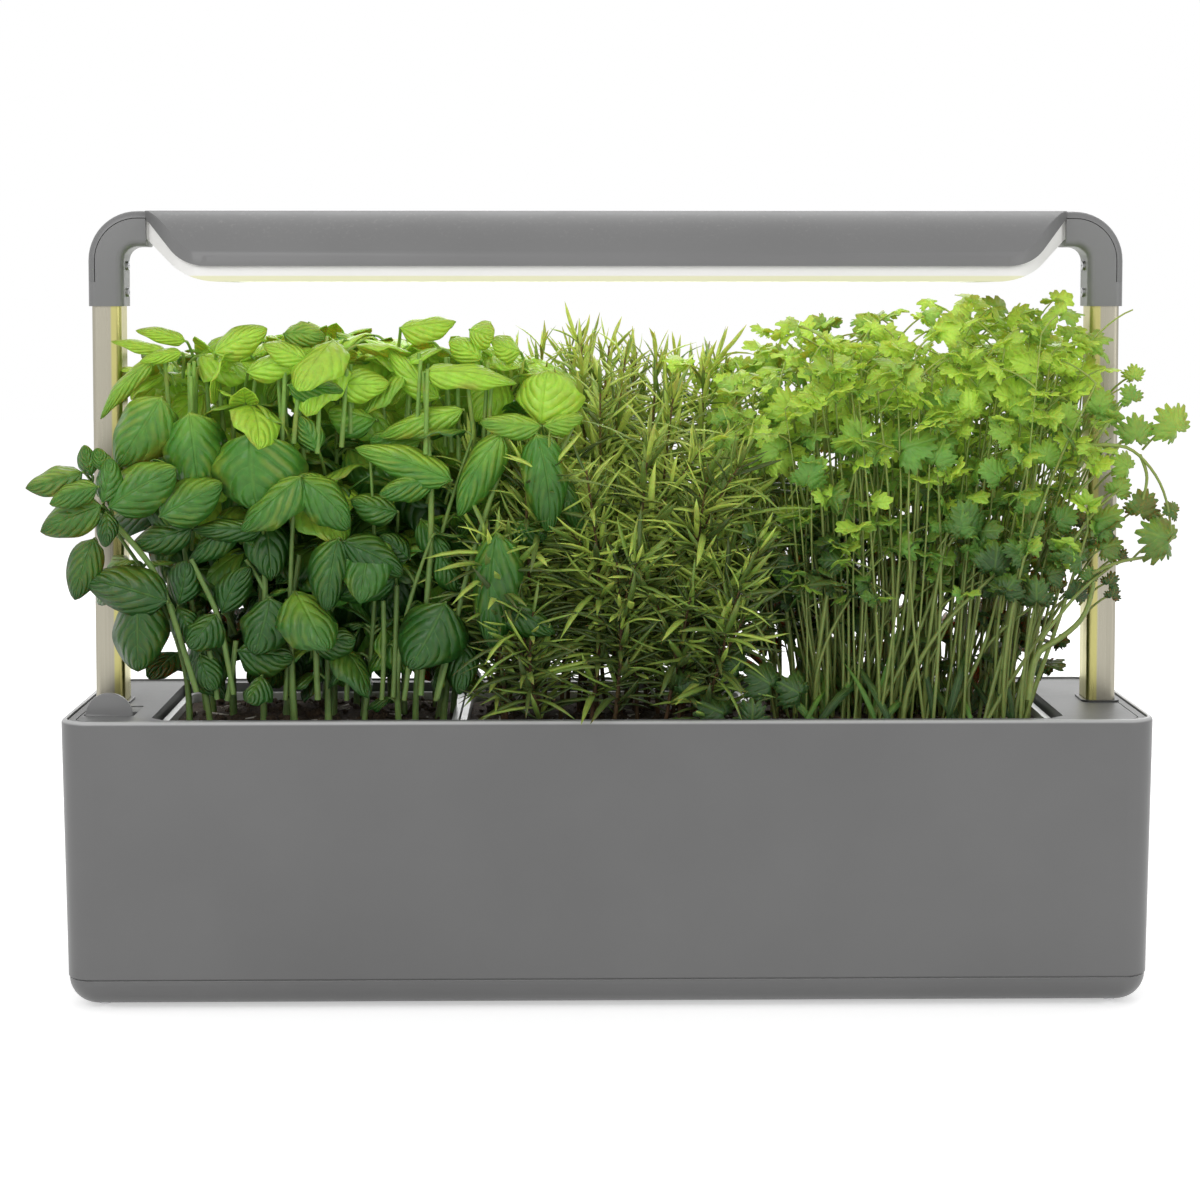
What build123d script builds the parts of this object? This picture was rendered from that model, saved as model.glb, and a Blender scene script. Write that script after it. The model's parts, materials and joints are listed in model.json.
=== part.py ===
from build123d import *
import os
from math import cos, pi, radians, sin, sqrt, tan

# Indoor herb planter: a water-fed trough with three pots under a lamp on two posts.
# Millimetres. Origin on the floor under the middle of the trough, +X right, +Y back, +Z up.

# Driving dimensions
body_length = 580.0
body_depth = 150.0
rim_height = 155.0
lamp_top = 424.2
post_spacing = 546.0
lamp_depth = 90.0

# Clearances and overruns
seat_gap = 0.3
slide_gap = 0.3
pin_gap = 0.05
overrun = 5.0

# Trough walls, base and deck levels
draft_angle = 1.0
corner_radius = 17.0
shell_wall = 3.0
foot_thickness = 3.0
foot_sink = 1.0
pan_height = 15.5
pan_wall = 3.0
pan_bottom = foot_thickness - foot_sink
pan_floor_top = pan_bottom + pan_wall
seam_height = pan_bottom + pan_height
deck_thickness = 2.5
deck_drop = 1.0
deck_top = rim_height - deck_drop
deck_bottom = deck_top - deck_thickness

# Posts
post_width = 16.0
post_depth = 22.0
post_wall = 1.5
post_corner = 3.0
post_bottom = 40.0
post_x = post_spacing / 2
sides = {"left": -1, "right": 1}
both_ways = (-1, 1)
ground = Plane.XY


def level(height, x=0, y=0):
    """A horizontal plane at a height, over the point x, y."""
    return Plane((x, y, height))


def drafted_size(height, inset):
    """Length and depth of the trough's outer form at a height, less an inset all round."""
    shrink = (rim_height - height) * tan(radians(draft_angle)) + inset
    return body_length - 2 * shrink, body_depth - 2 * shrink


def trough_outline(height, inset, mode=Mode.ADD):
    """The trough's rounded outline at a height, less an inset all round."""
    length, depth = drafted_size(height, inset)
    RectangleRounded(length, depth, corner_radius - inset, mode=mode)


# Trough shell: a drafted wall with a rounded rim, a ledge for the deck and four screw bosses
rim_round = 2.2
rim_inner_round = 0.6
ledge_width = 3.0
ledge_height = 3.0
boss_x = 268.0
boss_y = 60.0
boss_radius = 3.5
boss_height = 40.0
boss_rib_width = 2.4
screw_radius = 1.7
screw_bite = 0.2
spigot_height = 6.5
spigot_wall = 1.2
boss_foot = pan_floor_top + seat_gap
rib_foot = seam_height + spigot_height + seat_gap
boss_places = [(sx * boss_x, sy * boss_y) for sx in both_ways for sy in both_ways]

with BuildPart() as planter_shell:
    with BuildSketch(level(rim_height)):
        trough_outline(rim_height, 0)
    extrude(amount=seam_height - rim_height, taper=draft_angle)
    with BuildSketch(level(rim_height)):
        trough_outline(rim_height, shell_wall)
    extrude(amount=seam_height - rim_height - overrun, taper=draft_angle, mode=Mode.SUBTRACT)
    rim_face = planter_shell.faces().sort_by(Axis.Z)[-1]
    fillet(rim_face.outer_wire().edges(), radius=rim_round)
    rim_face = planter_shell.faces().sort_by(Axis.Z)[-1]
    fillet(rim_face.inner_wires()[0].edges(), radius=rim_inner_round)
    with BuildSketch(level(deck_bottom - ledge_height)):
        trough_outline(deck_bottom, shell_wall / 2)
        trough_outline(deck_bottom, shell_wall + ledge_width, mode=Mode.SUBTRACT)
    extrude(amount=ledge_height)
    wall_y = drafted_size(seam_height, shell_wall / 2)[1] / 2
    for px, py in boss_places:
        with BuildSketch(level(boss_foot, px, py)):
            Circle(boss_radius)
        extrude(amount=boss_height)
        with BuildSketch(level(rib_foot, px, (py + py / boss_y * wall_y) / 2)):
            Rectangle(boss_rib_width, wall_y - boss_y)
        extrude(amount=boss_foot + boss_height - rib_foot)
        with BuildSketch(level(boss_foot, px, py)):
            Circle(screw_radius - screw_bite)
        extrude(amount=boss_height / 2, mode=Mode.SUBTRACT)
planter_shell.part.label = "planter_shell"

# Base pan: a shallow round-edged dish, a spigot that enters the shell and a shadow seam
pan_edge_radius = 15.0
pan_inner_radius = 7.5
seam_gap = 0.8
seam_depth = 1.2
foot_radius = 9.0
foot_x = 235.0
foot_y = 42.0
screw_head_radius = 3.2
screw_head_height = 1.4
spigot_inset = shell_wall + slide_gap
foot_places = [(sx * foot_x, sy * foot_y) for sx in both_ways for sy in both_ways]
socket_places = [(side * post_x, 0) for side in sides.values()]

def dish(inset, bottom, edge_radius):
    """A drafted block from the seam down to a rounded bottom edge."""
    with BuildPart() as block:
        with BuildSketch(level(seam_height)):
            trough_outline(seam_height, inset)
        extrude(amount=bottom - seam_height, taper=draft_angle)
        fillet(block.faces().sort_by(Axis.Z)[0].edges(), radius=edge_radius)
    return block.part


pan_outside = dish(0, pan_bottom, pan_edge_radius)
pan_inside = dish(pan_wall, pan_floor_top, pan_inner_radius)
with BuildPart() as base_pan:
    add(pan_outside)
    add(pan_inside, mode=Mode.SUBTRACT)
    with BuildSketch(level(seam_height - seam_gap)):
        trough_outline(seam_height, -overrun)
        trough_outline(seam_height, seam_depth, mode=Mode.SUBTRACT)
    extrude(amount=seam_gap + overrun, mode=Mode.SUBTRACT)
    with BuildSketch(level(seam_height - pan_wall)):
        trough_outline(seam_height, spigot_inset - seat_gap - screw_bite)
        trough_outline(seam_height, spigot_inset + spigot_wall, mode=Mode.SUBTRACT)
    extrude(amount=pan_wall)
    with BuildSketch(level(seam_height)):
        trough_outline(seam_height, spigot_inset)
        trough_outline(seam_height, spigot_inset + spigot_wall, mode=Mode.SUBTRACT)
    extrude(amount=spigot_height)
    with BuildSketch(level(pan_bottom)):
        with Locations(*foot_places):
            Circle(foot_radius + slide_gap)
    extrude(amount=foot_sink, mode=Mode.SUBTRACT)
    with BuildSketch(level(pan_bottom - overrun)):
        with Locations(*boss_places, *socket_places):
            Circle(screw_radius + slide_gap)
    extrude(amount=overrun + pan_wall + overrun, mode=Mode.SUBTRACT)
    with BuildSketch(level(pan_bottom - overrun)):
        with Locations(*boss_places, *socket_places):
            Circle(screw_head_radius + slide_gap)
    extrude(amount=overrun + screw_head_height, mode=Mode.SUBTRACT)
base_pan.part.label = "base_pan"

# Rubber feet, four alike
with BuildPart() as feet:
    with BuildSketch(ground):
        with Locations(*foot_places):
            Circle(foot_radius)
    extrude(amount=foot_thickness)
feet.part.label = "feet"


def screw(head_radius, head_height, shank_radius, shank_length, plane):
    """A pan-head screw: the head below the plane's origin, the shank along its normal."""
    with BuildPart() as one:
        with BuildSketch(plane.offset(-head_height)):
            Circle(head_radius)
        extrude(amount=head_height)
        with BuildSketch(plane):
            Circle(shank_radius)
        extrude(amount=shank_length)
        with BuildSketch(plane.offset(-head_height)):
            Rectangle(head_radius, head_height / 2)
            Rectangle(head_height / 2, head_radius)
        extrude(amount=head_height / 2, mode=Mode.SUBTRACT)
    return one.part


# Base screws: four up into the shell's bosses
base_screw_length = 16.0
base_screw_heads = [level(pan_bottom + screw_head_height, px, py) for px, py in boss_places]
base_screw_parts = [
    screw(screw_head_radius, screw_head_height - seat_gap, screw_radius - screw_bite - pin_gap,
          base_screw_length, plane) for plane in base_screw_heads
]
with BuildPart() as base_screws:
    add(base_screw_parts)
base_screws.part.label = "base_screws"

# Fill port and its flap, at the front left of the deck
flap_x = -267.0
flap_width = 25.4
flap_height = 13.2
flap_thickness = 2.2
flap_barrel_radius = 1.5
flap_pin_radius = 0.7
flap_pin_y = -46.5
port_width = 20.0
port_depth = 10.5
port_corner = 3.0
recess_width = 27.0
recess_depth = 32.0
recess_corner = 1.2
flap_recess_depth = flap_height + flap_barrel_radius + slide_gap * 2
port_block_wall = 2.0
flap_pin_z = deck_top - flap_thickness / 2
recess_front = flap_pin_y - flap_barrel_radius - slide_gap
recess_floor = flap_pin_z - flap_barrel_radius - slide_gap
port_y = flap_pin_y + flap_barrel_radius + slide_gap + port_depth / 2
port_block_bottom = recess_floor - port_block_wall
flap_pin_length = recess_width + 2 * port_block_wall - seat_gap

# Deck: a tray that rests on the shell's ledge, open over the pots, round the posts and at the port
deck_round = 0.5
well_length = 486.0
well_depth = 126.0
well_chamfer = 8.0
well_skirt_height = 6.0
well_skirt_wall = 1.6
groove_inset = 4.5
groove_width = 0.6
groove_depth = 0.5
post_collar_width = 2.4
post_collar_height = 1.1
socket_wall = 1.4
socket_length = post_width + 2 * slide_gap + 2 * socket_wall
socket_depth = post_depth + 2 * slide_gap + 2 * socket_wall


def well_outline(margin, mode=Mode.ADD):
    """The opening over the pots with cut corners, grown by a margin."""
    half_length = well_length / 2 + margin
    half_depth = well_depth / 2 + margin
    cut = well_chamfer + margin * (2 - sqrt(2))
    Polygon(
        (half_length, cut - half_depth), (half_length, half_depth - cut),
        (half_length - cut, half_depth), (cut - half_length, half_depth),
        (-half_length, half_depth - cut), (-half_length, cut - half_depth),
        (cut - half_length, -half_depth), (half_length - cut, -half_depth),
        align=None, mode=mode,
    )


with BuildPart() as top_deck:
    with BuildSketch(level(deck_bottom)):
        trough_outline(deck_bottom, shell_wall + slide_gap)
    extrude(amount=deck_thickness)
    fillet(top_deck.faces().sort_by(Axis.Z)[-1].edges(), radius=deck_round)
    with BuildSketch(level(deck_bottom - well_skirt_height)):
        well_outline(well_skirt_wall)
    extrude(amount=well_skirt_height)
    with BuildSketch(level(port_block_bottom)):
        with Locations((flap_x, recess_front + flap_recess_depth / 2)):
            RectangleRounded(recess_width + 2 * port_block_wall,
                             flap_recess_depth + 2 * port_block_wall, recess_corner)
    extrude(amount=deck_bottom - port_block_bottom)
    with BuildSketch(level(deck_bottom - well_skirt_height - overrun)):
        well_outline(0)
    extrude(amount=rim_height, mode=Mode.SUBTRACT)
    with BuildSketch(level(deck_bottom - overrun)):
        with Locations(*socket_places):
            RectangleRounded(socket_length + 2 * seat_gap, socket_depth + 2 * seat_gap,
                             post_corner + socket_wall)
    extrude(amount=deck_thickness + 2 * overrun, mode=Mode.SUBTRACT)
    with BuildSketch(level(deck_top - groove_depth)):
        trough_outline(deck_bottom, shell_wall + groove_inset)
        trough_outline(deck_bottom, shell_wall + groove_inset + groove_width,
                       mode=Mode.SUBTRACT)
    extrude(amount=groove_depth + overrun, mode=Mode.SUBTRACT)
    with BuildSketch(level(recess_floor)):
        with Locations((flap_x, recess_front + flap_recess_depth / 2)):
            RectangleRounded(recess_width, flap_recess_depth, recess_corner)
    extrude(amount=rim_height - recess_floor, mode=Mode.SUBTRACT)
    with BuildSketch(level(deck_top - groove_depth)):
        with Locations((flap_x, recess_front + recess_depth / 2)):
            RectangleRounded(recess_width, recess_depth, recess_corner)
    extrude(amount=groove_depth + overrun, mode=Mode.SUBTRACT)
    with BuildSketch(level(port_block_bottom - overrun)):
        with Locations((flap_x, port_y)):
            RectangleRounded(port_width, port_depth, port_corner)
    extrude(amount=rim_height, mode=Mode.SUBTRACT)
    with BuildSketch(Plane.YZ.offset(flap_x - flap_pin_length / 2)):
        with Locations((flap_pin_y, flap_pin_z)):
            Circle(flap_pin_radius)
    extrude(amount=flap_pin_length, mode=Mode.SUBTRACT)
top_deck.part.label = "top_deck"

# Flap pin
with BuildPart() as flap_pin:
    with BuildSketch(Plane.YZ.offset(flap_x - flap_pin_length / 2)):
        with Locations((flap_pin_y, flap_pin_z)):
            Circle(flap_pin_radius)
    extrude(amount=flap_pin_length)
flap_pin.part.label = "flap_pin"

# Fill flap: a half-round plate that stands open on its barrel
flap_round = 0.5
with BuildPart() as fill_flap:
    with BuildSketch(Plane.XZ.offset(-flap_pin_y - flap_thickness / 2)):
        with BuildLine():
            flap_top = flap_pin_z + flap_height
            shoulder = flap_top - flap_width / 2
            left_edge = flap_x - flap_width / 2
            right_edge = flap_x + flap_width / 2
            Polyline((left_edge, shoulder), (left_edge, flap_pin_z), (right_edge, flap_pin_z),
                     (right_edge, shoulder))
            ThreePointArc((right_edge, shoulder), (flap_x, flap_top), (left_edge, shoulder))
        make_face()
    extrude(amount=flap_thickness)
    fillet(fill_flap.edges().filter_by(GeomType.CIRCLE), radius=flap_round)
    with BuildSketch(Plane.YZ.offset(flap_x - flap_width / 2)):
        with Locations((flap_pin_y, flap_pin_z)):
            Circle(flap_barrel_radius)
    extrude(amount=flap_width)
    with BuildSketch(Plane.YZ.offset(flap_x - recess_width / 2)):
        with Locations((flap_pin_y, flap_pin_z)):
            Circle(flap_pin_radius + pin_gap)
    extrude(amount=recess_width, mode=Mode.SUBTRACT)
fill_flap.part.label = "fill_flap"

# Reservoir liner: a tub on the base pan with a raised bay under the fill port
liner_length = 516.0
liner_depth = 128.0
liner_wall = 2.0
liner_floor = 2.0
liner_corner = 10.0
liner_edge_chamfer = 2.5
liner_rim_gap = 1.0
bay_front = -52.0
bay_back = -20.0
bay_reach = 282.0
bay_bottom = 20.0
liner_bottom = pan_floor_top
liner_top = deck_bottom - well_skirt_height - liner_rim_gap
bay_middle = (bay_front + bay_back) / 2
bay_depth = bay_back - bay_front
bay_start = liner_length / 2 - liner_corner

with BuildPart() as reservoir_liner:
    with BuildSketch(level(liner_bottom)):
        RectangleRounded(liner_length, liner_depth, liner_corner)
    extrude(amount=liner_top - liner_bottom)
    chamfer(reservoir_liner.faces().sort_by(Axis.Z)[0].edges(), length=liner_edge_chamfer)
    with BuildSketch(level(bay_bottom, -(bay_start + bay_reach) / 2, bay_middle)):
        Rectangle(bay_reach - bay_start, bay_depth)
    extrude(amount=liner_top - bay_bottom)
    with BuildSketch(level(liner_bottom + liner_floor)):
        RectangleRounded(liner_length - 2 * liner_wall, liner_depth - 2 * liner_wall,
                         liner_corner - liner_wall)
    extrude(amount=liner_top, mode=Mode.SUBTRACT)
    with BuildSketch(level(bay_bottom + liner_floor, -(bay_start + bay_reach - liner_wall) / 2,
                           bay_middle)):
        Rectangle(bay_reach - bay_start - liner_wall, bay_depth - 2 * liner_wall)
    extrude(amount=liner_top, mode=Mode.SUBTRACT)
reservoir_liner.part.label = "reservoir_liner"

# Pot platform: a plate on loose side rails above the water, slotted for the mat's wicks
platform_top = 40.0
platform_thickness = 2.0
rail_width = 2.0
rail_inset = 6.0
rail_gap = 40.0
rail_count = 6
wick_width = 20.0
wick_thickness = 2.0
wick_y = 34.0
wick_slot_gap = 0.5
drain_radius = 3.0
drain_pitch = 40.0
drain_columns = 12
platform_length = liner_length - 2 * liner_wall - 2 * slide_gap
platform_depth = liner_depth - 2 * liner_wall - 2 * slide_gap
water_floor = liner_bottom + liner_floor
pot_count = 3
pot_gap = 1.0
pot_length = 159.6
pot_pitch = pot_length + pot_gap
pot_places = [((index - (pot_count - 1) / 2) * pot_pitch, 0) for index in range(pot_count)]
wick_places = [(px, sy * wick_y) for px, py in pot_places for sy in both_ways]

with BuildPart() as pot_platform:
    with BuildSketch(level(platform_top - platform_thickness)):
        RectangleRounded(platform_length, platform_depth, liner_corner - liner_wall)
        with Locations(*wick_places):
            Rectangle(wick_width + 2 * wick_slot_gap, wick_thickness + 2 * wick_slot_gap,
                      mode=Mode.SUBTRACT)
        with GridLocations(drain_pitch, 1, drain_columns, 1):
            Circle(drain_radius, mode=Mode.SUBTRACT)
    extrude(amount=platform_thickness)
pot_platform.part.label = "pot_platform"

with BuildPart() as platform_rails:
    with BuildSketch(level(water_floor)):
        rail_length = platform_length / rail_count - rail_gap
        with GridLocations(platform_length / rail_count, platform_depth - 2 * rail_inset,
                           rail_count, 2):
            Rectangle(rail_length, rail_width)
    extrude(amount=platform_top - platform_thickness - water_floor)
platform_rails.part.label = "platform_rails"

# Capillary mat: felt on the platform with wicks that hang into the water
mat_thickness = 2.0
mat_margin = 4.0
wick_foot_gap = 1.0
pot_bottom = platform_top + mat_thickness
with BuildPart() as capillary_mat:
    with BuildSketch(level(platform_top)):
        RectangleRounded(platform_length - 2 * mat_margin, platform_depth - 2 * mat_margin,
                         liner_corner - liner_wall)
    extrude(amount=mat_thickness)
    with BuildSketch(level(water_floor + wick_foot_gap)):
        with Locations(*wick_places):
            Rectangle(wick_width, wick_thickness)
    extrude(amount=platform_top - water_floor - wick_foot_gap)
capillary_mat.part.label = "capillary_mat"

# Pots: three drafted boxes with a thin outward rim and drain holes
pot_depth = 120.0
pot_wall = 1.6
pot_floor = 1.6
pot_rim_width = 2.0
pot_rim_height = 3.0
pot_corner = 10.0
pot_draft = 2.4
pot_rim_drop = 4.7
pot_hole_radius = 3.0
pot_hole_pitch = 24.0
pot_hole_columns = 5
pot_hole_rows = 4
pot_top = deck_top - pot_rim_drop
pot_body_length = pot_length - 2 * pot_rim_width
pot_body_depth = pot_depth - 2 * pot_rim_width
pot_names = ("left", "middle", "right")
pots = {}
for name, place in zip(pot_names, pot_places):
    with BuildPart() as pot:
        with BuildSketch(level(pot_top, *place)):
            RectangleRounded(pot_body_length, pot_body_depth, pot_corner)
        extrude(amount=pot_bottom - pot_top, taper=pot_draft)
        with BuildSketch(level(pot_top - pot_rim_height, *place)):
            RectangleRounded(pot_length, pot_depth, pot_corner + pot_rim_width)
        extrude(amount=pot_rim_height)
        with BuildSketch(level(pot_top, *place)):
            RectangleRounded(pot_body_length - 2 * pot_wall, pot_body_depth - 2 * pot_wall,
                             pot_corner - pot_wall)
        extrude(amount=pot_bottom + pot_floor - pot_top, taper=pot_draft, mode=Mode.SUBTRACT)
        with BuildSketch(level(pot_bottom, *place)):
            with GridLocations(pot_hole_pitch, pot_hole_pitch, pot_hole_columns, pot_hole_rows):
                Circle(pot_hole_radius)
        extrude(amount=pot_floor + overrun, mode=Mode.SUBTRACT)
    pots[name] = pot
pot_left = pots["left"]
pot_middle = pots["middle"]
pot_right = pots["right"]
pot_left.part.label = "pot_left"
pot_middle.part.label = "pot_middle"
pot_right.part.label = "pot_right"

# Soil: a drafted block in each pot, a little below the rim, with a rounded top edge
soil_drop = 3.2
soil_gap = 0.3
soil_round = 3.0
soil_top = pot_top - soil_drop
soil_bottom = pot_bottom + pot_floor
soil_narrowing = soil_drop * tan(radians(pot_draft)) + pot_wall + soil_gap
soils = {}
for name, place in zip(pot_names, pot_places):
    with BuildPart() as soil:
        with BuildSketch(level(soil_top, *place)):
            RectangleRounded(pot_body_length - 2 * soil_narrowing,
                             pot_body_depth - 2 * soil_narrowing, pot_corner - pot_wall)
        extrude(amount=soil_bottom - soil_top, taper=pot_draft)
        fillet(soil.faces().sort_by(Axis.Z)[-1].edges(), radius=soil_round)
    soils[name] = soil
soil_left = soils["left"]
soil_middle = soils["middle"]
soil_right = soils["right"]
soil_left.part.label = "soil_left"
soil_middle.part.label = "soil_middle"
soil_right.part.label = "soil_right"

# Post sockets: collared sleeves through the deck, down to the base pan
socket_screw_length = 14.0
socket_foot_radius = 3.6
socket_rise = pan_inner_radius + 2 * seat_gap
socket_bottom = pan_floor_top + socket_rise
collar_round = 0.5
sockets = {}
for name, side in sides.items():
    with BuildPart() as socket:
        with BuildSketch(level(pan_floor_top, side * post_x)):
            Circle(socket_foot_radius)
        extrude(amount=socket_rise)
        with BuildSketch(level(socket_bottom, side * post_x)):
            RectangleRounded(socket_length, socket_depth, post_corner + socket_wall)
        extrude(amount=deck_top - socket_bottom)
        with BuildSketch(level(deck_top, side * post_x)):
            RectangleRounded(post_width + 2 * post_collar_width,
                             post_depth + 2 * post_collar_width,
                             post_corner + post_collar_width)
        extrude(amount=post_collar_height)
        fillet(socket.faces().sort_by(Axis.Z)[-1].edges(), radius=collar_round)
        with BuildSketch(level(post_bottom, side * post_x)):
            RectangleRounded(post_width + 2 * slide_gap, post_depth + 2 * slide_gap,
                             post_corner + slide_gap)
        extrude(amount=rim_height, mode=Mode.SUBTRACT)
        with BuildSketch(level(pan_floor_top, side * post_x)):
            Circle(screw_radius - screw_bite)
        extrude(amount=socket_screw_length + overrun, mode=Mode.SUBTRACT)
    sockets[name] = socket
left_post_socket = sockets["left"]
right_post_socket = sockets["right"]
left_post_socket.part.label = "left_post_socket"
right_post_socket.part.label = "right_post_socket"

socket_screw_parts = [
    screw(screw_head_radius, screw_head_height - seat_gap, screw_radius - screw_bite - pin_gap,
          socket_screw_length, level(pan_bottom + screw_head_height, *place))
    for place in socket_places
]
with BuildPart() as socket_screws:
    add(socket_screw_parts)
socket_screws.part.label = "socket_screws"

# Lamp posts, end plugs and elbows
pipe_wall = 1.5
pipe_gap = 0.2
pipe_corner = 4.5
elbow_bottom = 372.4
elbow_end = 250.8
bend_outer_radius = 27.0
post_top = 385.0
plug_flange = 2.0
plug_depth = 12.0
spine_bottom = 386.0
spine_thickness = 3.8
spine_seam = 0.4
end_wall = 1.8
tenon_length = 11.0
tenon_height = 7.0
tenon_depth = 18.0
tenon_wall = 1.4
tenon_corner = 2.5
low_screw_height = 380.0
high_screw_height = 394.6
elbow_screw_radius = 1.5
elbow_head_radius = 2.6
elbow_head_height = 1.2
elbow_low_screw_length = 3.2
elbow_high_screw_length = 10.0
pipe_width = post_width + 2 * pipe_gap + 2 * pipe_wall
pipe_depth = post_depth + 2 * pipe_gap + 2 * pipe_wall
pipe_axis_z = lamp_top - pipe_width / 2
bend_radius = bend_outer_radius - pipe_width / 2
bend_start_z = pipe_axis_z - bend_radius
pipe_outer_x = post_x + pipe_width / 2
pipe_inner_x = post_x - pipe_width / 2


def pipe_route(side, start_z, end_x):
    """The pipe's centre line: up the post's line, round the bend and in towards the lamp."""
    FilletPolyline((side * post_x, start_z), (side * post_x, pipe_axis_z),
                   (side * end_x, pipe_axis_z), radius=bend_radius)


def strip_outline(side, thickness):
    """The outer strip of the pipe's section, in a horizontal plane over the post."""
    RectangleRounded(pipe_width, pipe_depth, pipe_corner)
    with Locations((side * (pipe_width - thickness) / 2, 0)):
        Rectangle(thickness, pipe_depth, mode=Mode.INTERSECT)


def elbow_part(side):
    """One elbow: a bent pipe, open where the spine closes it, with an end wall and tenon."""
    with BuildPart() as body:
        with BuildLine(Plane.XZ) as route:
            pipe_route(side, elbow_bottom, elbow_end)
        with BuildSketch(level(elbow_bottom, side * post_x)):
            RectangleRounded(pipe_width, pipe_depth, pipe_corner)
        sweep(path=route.line)
    with BuildPart() as bore:
        with BuildLine(Plane.XZ) as bore_route:
            pipe_route(side, elbow_bottom - overrun, elbow_end + end_wall)
        with BuildSketch(level(elbow_bottom - overrun, side * post_x)):
            RectangleRounded(post_width + 2 * pipe_gap, post_depth + 2 * pipe_gap,
                             post_corner + pipe_gap)
        sweep(path=bore_route.line)
    with BuildPart() as strip:
        with BuildLine(Plane.XZ) as strip_route:
            pipe_route(side, spine_bottom - spine_seam, elbow_end - overrun)
        with BuildSketch(level(spine_bottom - spine_seam, side * post_x)):
            with Locations((side * (pipe_width - spine_thickness - spine_seam) / 2, 0)):
                Rectangle(spine_thickness + spine_seam, pipe_depth + overrun)
        sweep(path=strip_route.line)
    with BuildPart() as elbow:
        add(body.part)
        add(bore.part, mode=Mode.SUBTRACT)
        add(strip.part, mode=Mode.SUBTRACT)
        tenon_plane = Plane(origin=(side * elbow_end, 0, pipe_axis_z), x_dir=(0, 1, 0),
                            z_dir=(-side, 0, 0))
        with BuildSketch(tenon_plane.offset(-end_wall)):
            RectangleRounded(tenon_depth, tenon_height, tenon_corner)
        extrude(amount=end_wall + tenon_length)
        with BuildSketch(tenon_plane.offset(-end_wall - overrun)):
            RectangleRounded(tenon_depth - 2 * tenon_wall, tenon_height - 2 * tenon_wall,
                             tenon_corner - tenon_wall)
        extrude(amount=overrun + end_wall + tenon_length, mode=Mode.SUBTRACT)
        for height in (low_screw_height, high_screw_height):
            screw_plane = Plane(origin=(side * pipe_inner_x, 0, height), x_dir=(0, 1, 0),
                                z_dir=(side, 0, 0))
            with BuildSketch(screw_plane.offset(-overrun)):
                Circle(elbow_screw_radius + slide_gap)
            extrude(amount=overrun + post_width / 2, mode=Mode.SUBTRACT)
    return elbow.part


# The supply inlet sits in the right elbow's back and the push button in the left elbow's back
inlet_radius = 4.4
inlet_bore_radius = 2.8
inlet_flange_radius = 5.2
inlet_flange_height = 0.8
inlet_body_side = 7.6
inlet_body_depth = 11.0
inlet_bore_depth = 8.0
inlet_pin_radius = 0.9
button_radius = 4.0
button_flange_radius = 4.9
button_flange_height = 1.2
button_stand = 1.4
button_travel = 1.2
switch_board_side = 7.6
switch_board_thickness = 1.2
switch_side = 5.0
switch_height = 2.6
bend_centre_x = post_x - bend_radius
fitting_x = bend_centre_x + bend_radius * sin(pi / 4)
fitting_z = bend_start_z + bend_radius * sin(pi / 4)
back_outer_y = pipe_depth / 2
back_inner_y = back_outer_y - pipe_wall


def back_plane(side, y):
    """A plane facing out of the back of an elbow, centred on its fitting."""
    return Plane(origin=(side * fitting_x, y, fitting_z), x_dir=(-1, 0, 0), z_dir=(0, 1, 0))


with BuildPart() as left_elbow:
    add(elbow_part(sides["left"]))
    with BuildSketch(back_plane(sides["left"], back_inner_y - overrun)):
        Circle(button_radius + slide_gap)
    extrude(amount=pipe_wall + 2 * overrun, mode=Mode.SUBTRACT)
left_elbow.part.label = "left_elbow"

with BuildPart() as right_elbow:
    add(elbow_part(sides["right"]))
    with BuildSketch(back_plane(sides["right"], back_inner_y - overrun)):
        Circle(inlet_radius + seat_gap)
    extrude(amount=pipe_wall + 2 * overrun, mode=Mode.SUBTRACT)
right_elbow.part.label = "right_elbow"

with BuildPart() as dc_inlet:
    with BuildSketch(back_plane(sides["right"], back_outer_y)):
        Circle(inlet_flange_radius)
    extrude(amount=inlet_flange_height)
    with BuildSketch(back_plane(sides["right"], back_inner_y - seat_gap)):
        Circle(inlet_radius)
    extrude(amount=pipe_wall + seat_gap)
    with BuildSketch(back_plane(sides["right"], back_inner_y - inlet_body_depth)):
        Rectangle(inlet_body_side, inlet_body_side)
    extrude(amount=inlet_body_depth - seat_gap)
    with BuildSketch(back_plane(sides["right"], back_outer_y - inlet_bore_depth)):
        Circle(inlet_bore_radius)
        Circle(inlet_pin_radius, mode=Mode.SUBTRACT)
    extrude(amount=inlet_bore_depth + inlet_flange_height, mode=Mode.SUBTRACT)
dc_inlet.part.label = "dc_inlet"

with BuildPart() as power_button:
    with BuildSketch(back_plane(sides["left"], back_inner_y - button_flange_height)):
        Circle(button_flange_radius)
    extrude(amount=button_flange_height)
    with BuildSketch(back_plane(sides["left"], back_inner_y)):
        Circle(button_radius)
    extrude(amount=pipe_wall + button_stand)
    fillet(power_button.edges().sort_by(Axis.Y)[-1], radius=button_stand / 2)
power_button.part.label = "power_button"

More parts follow.
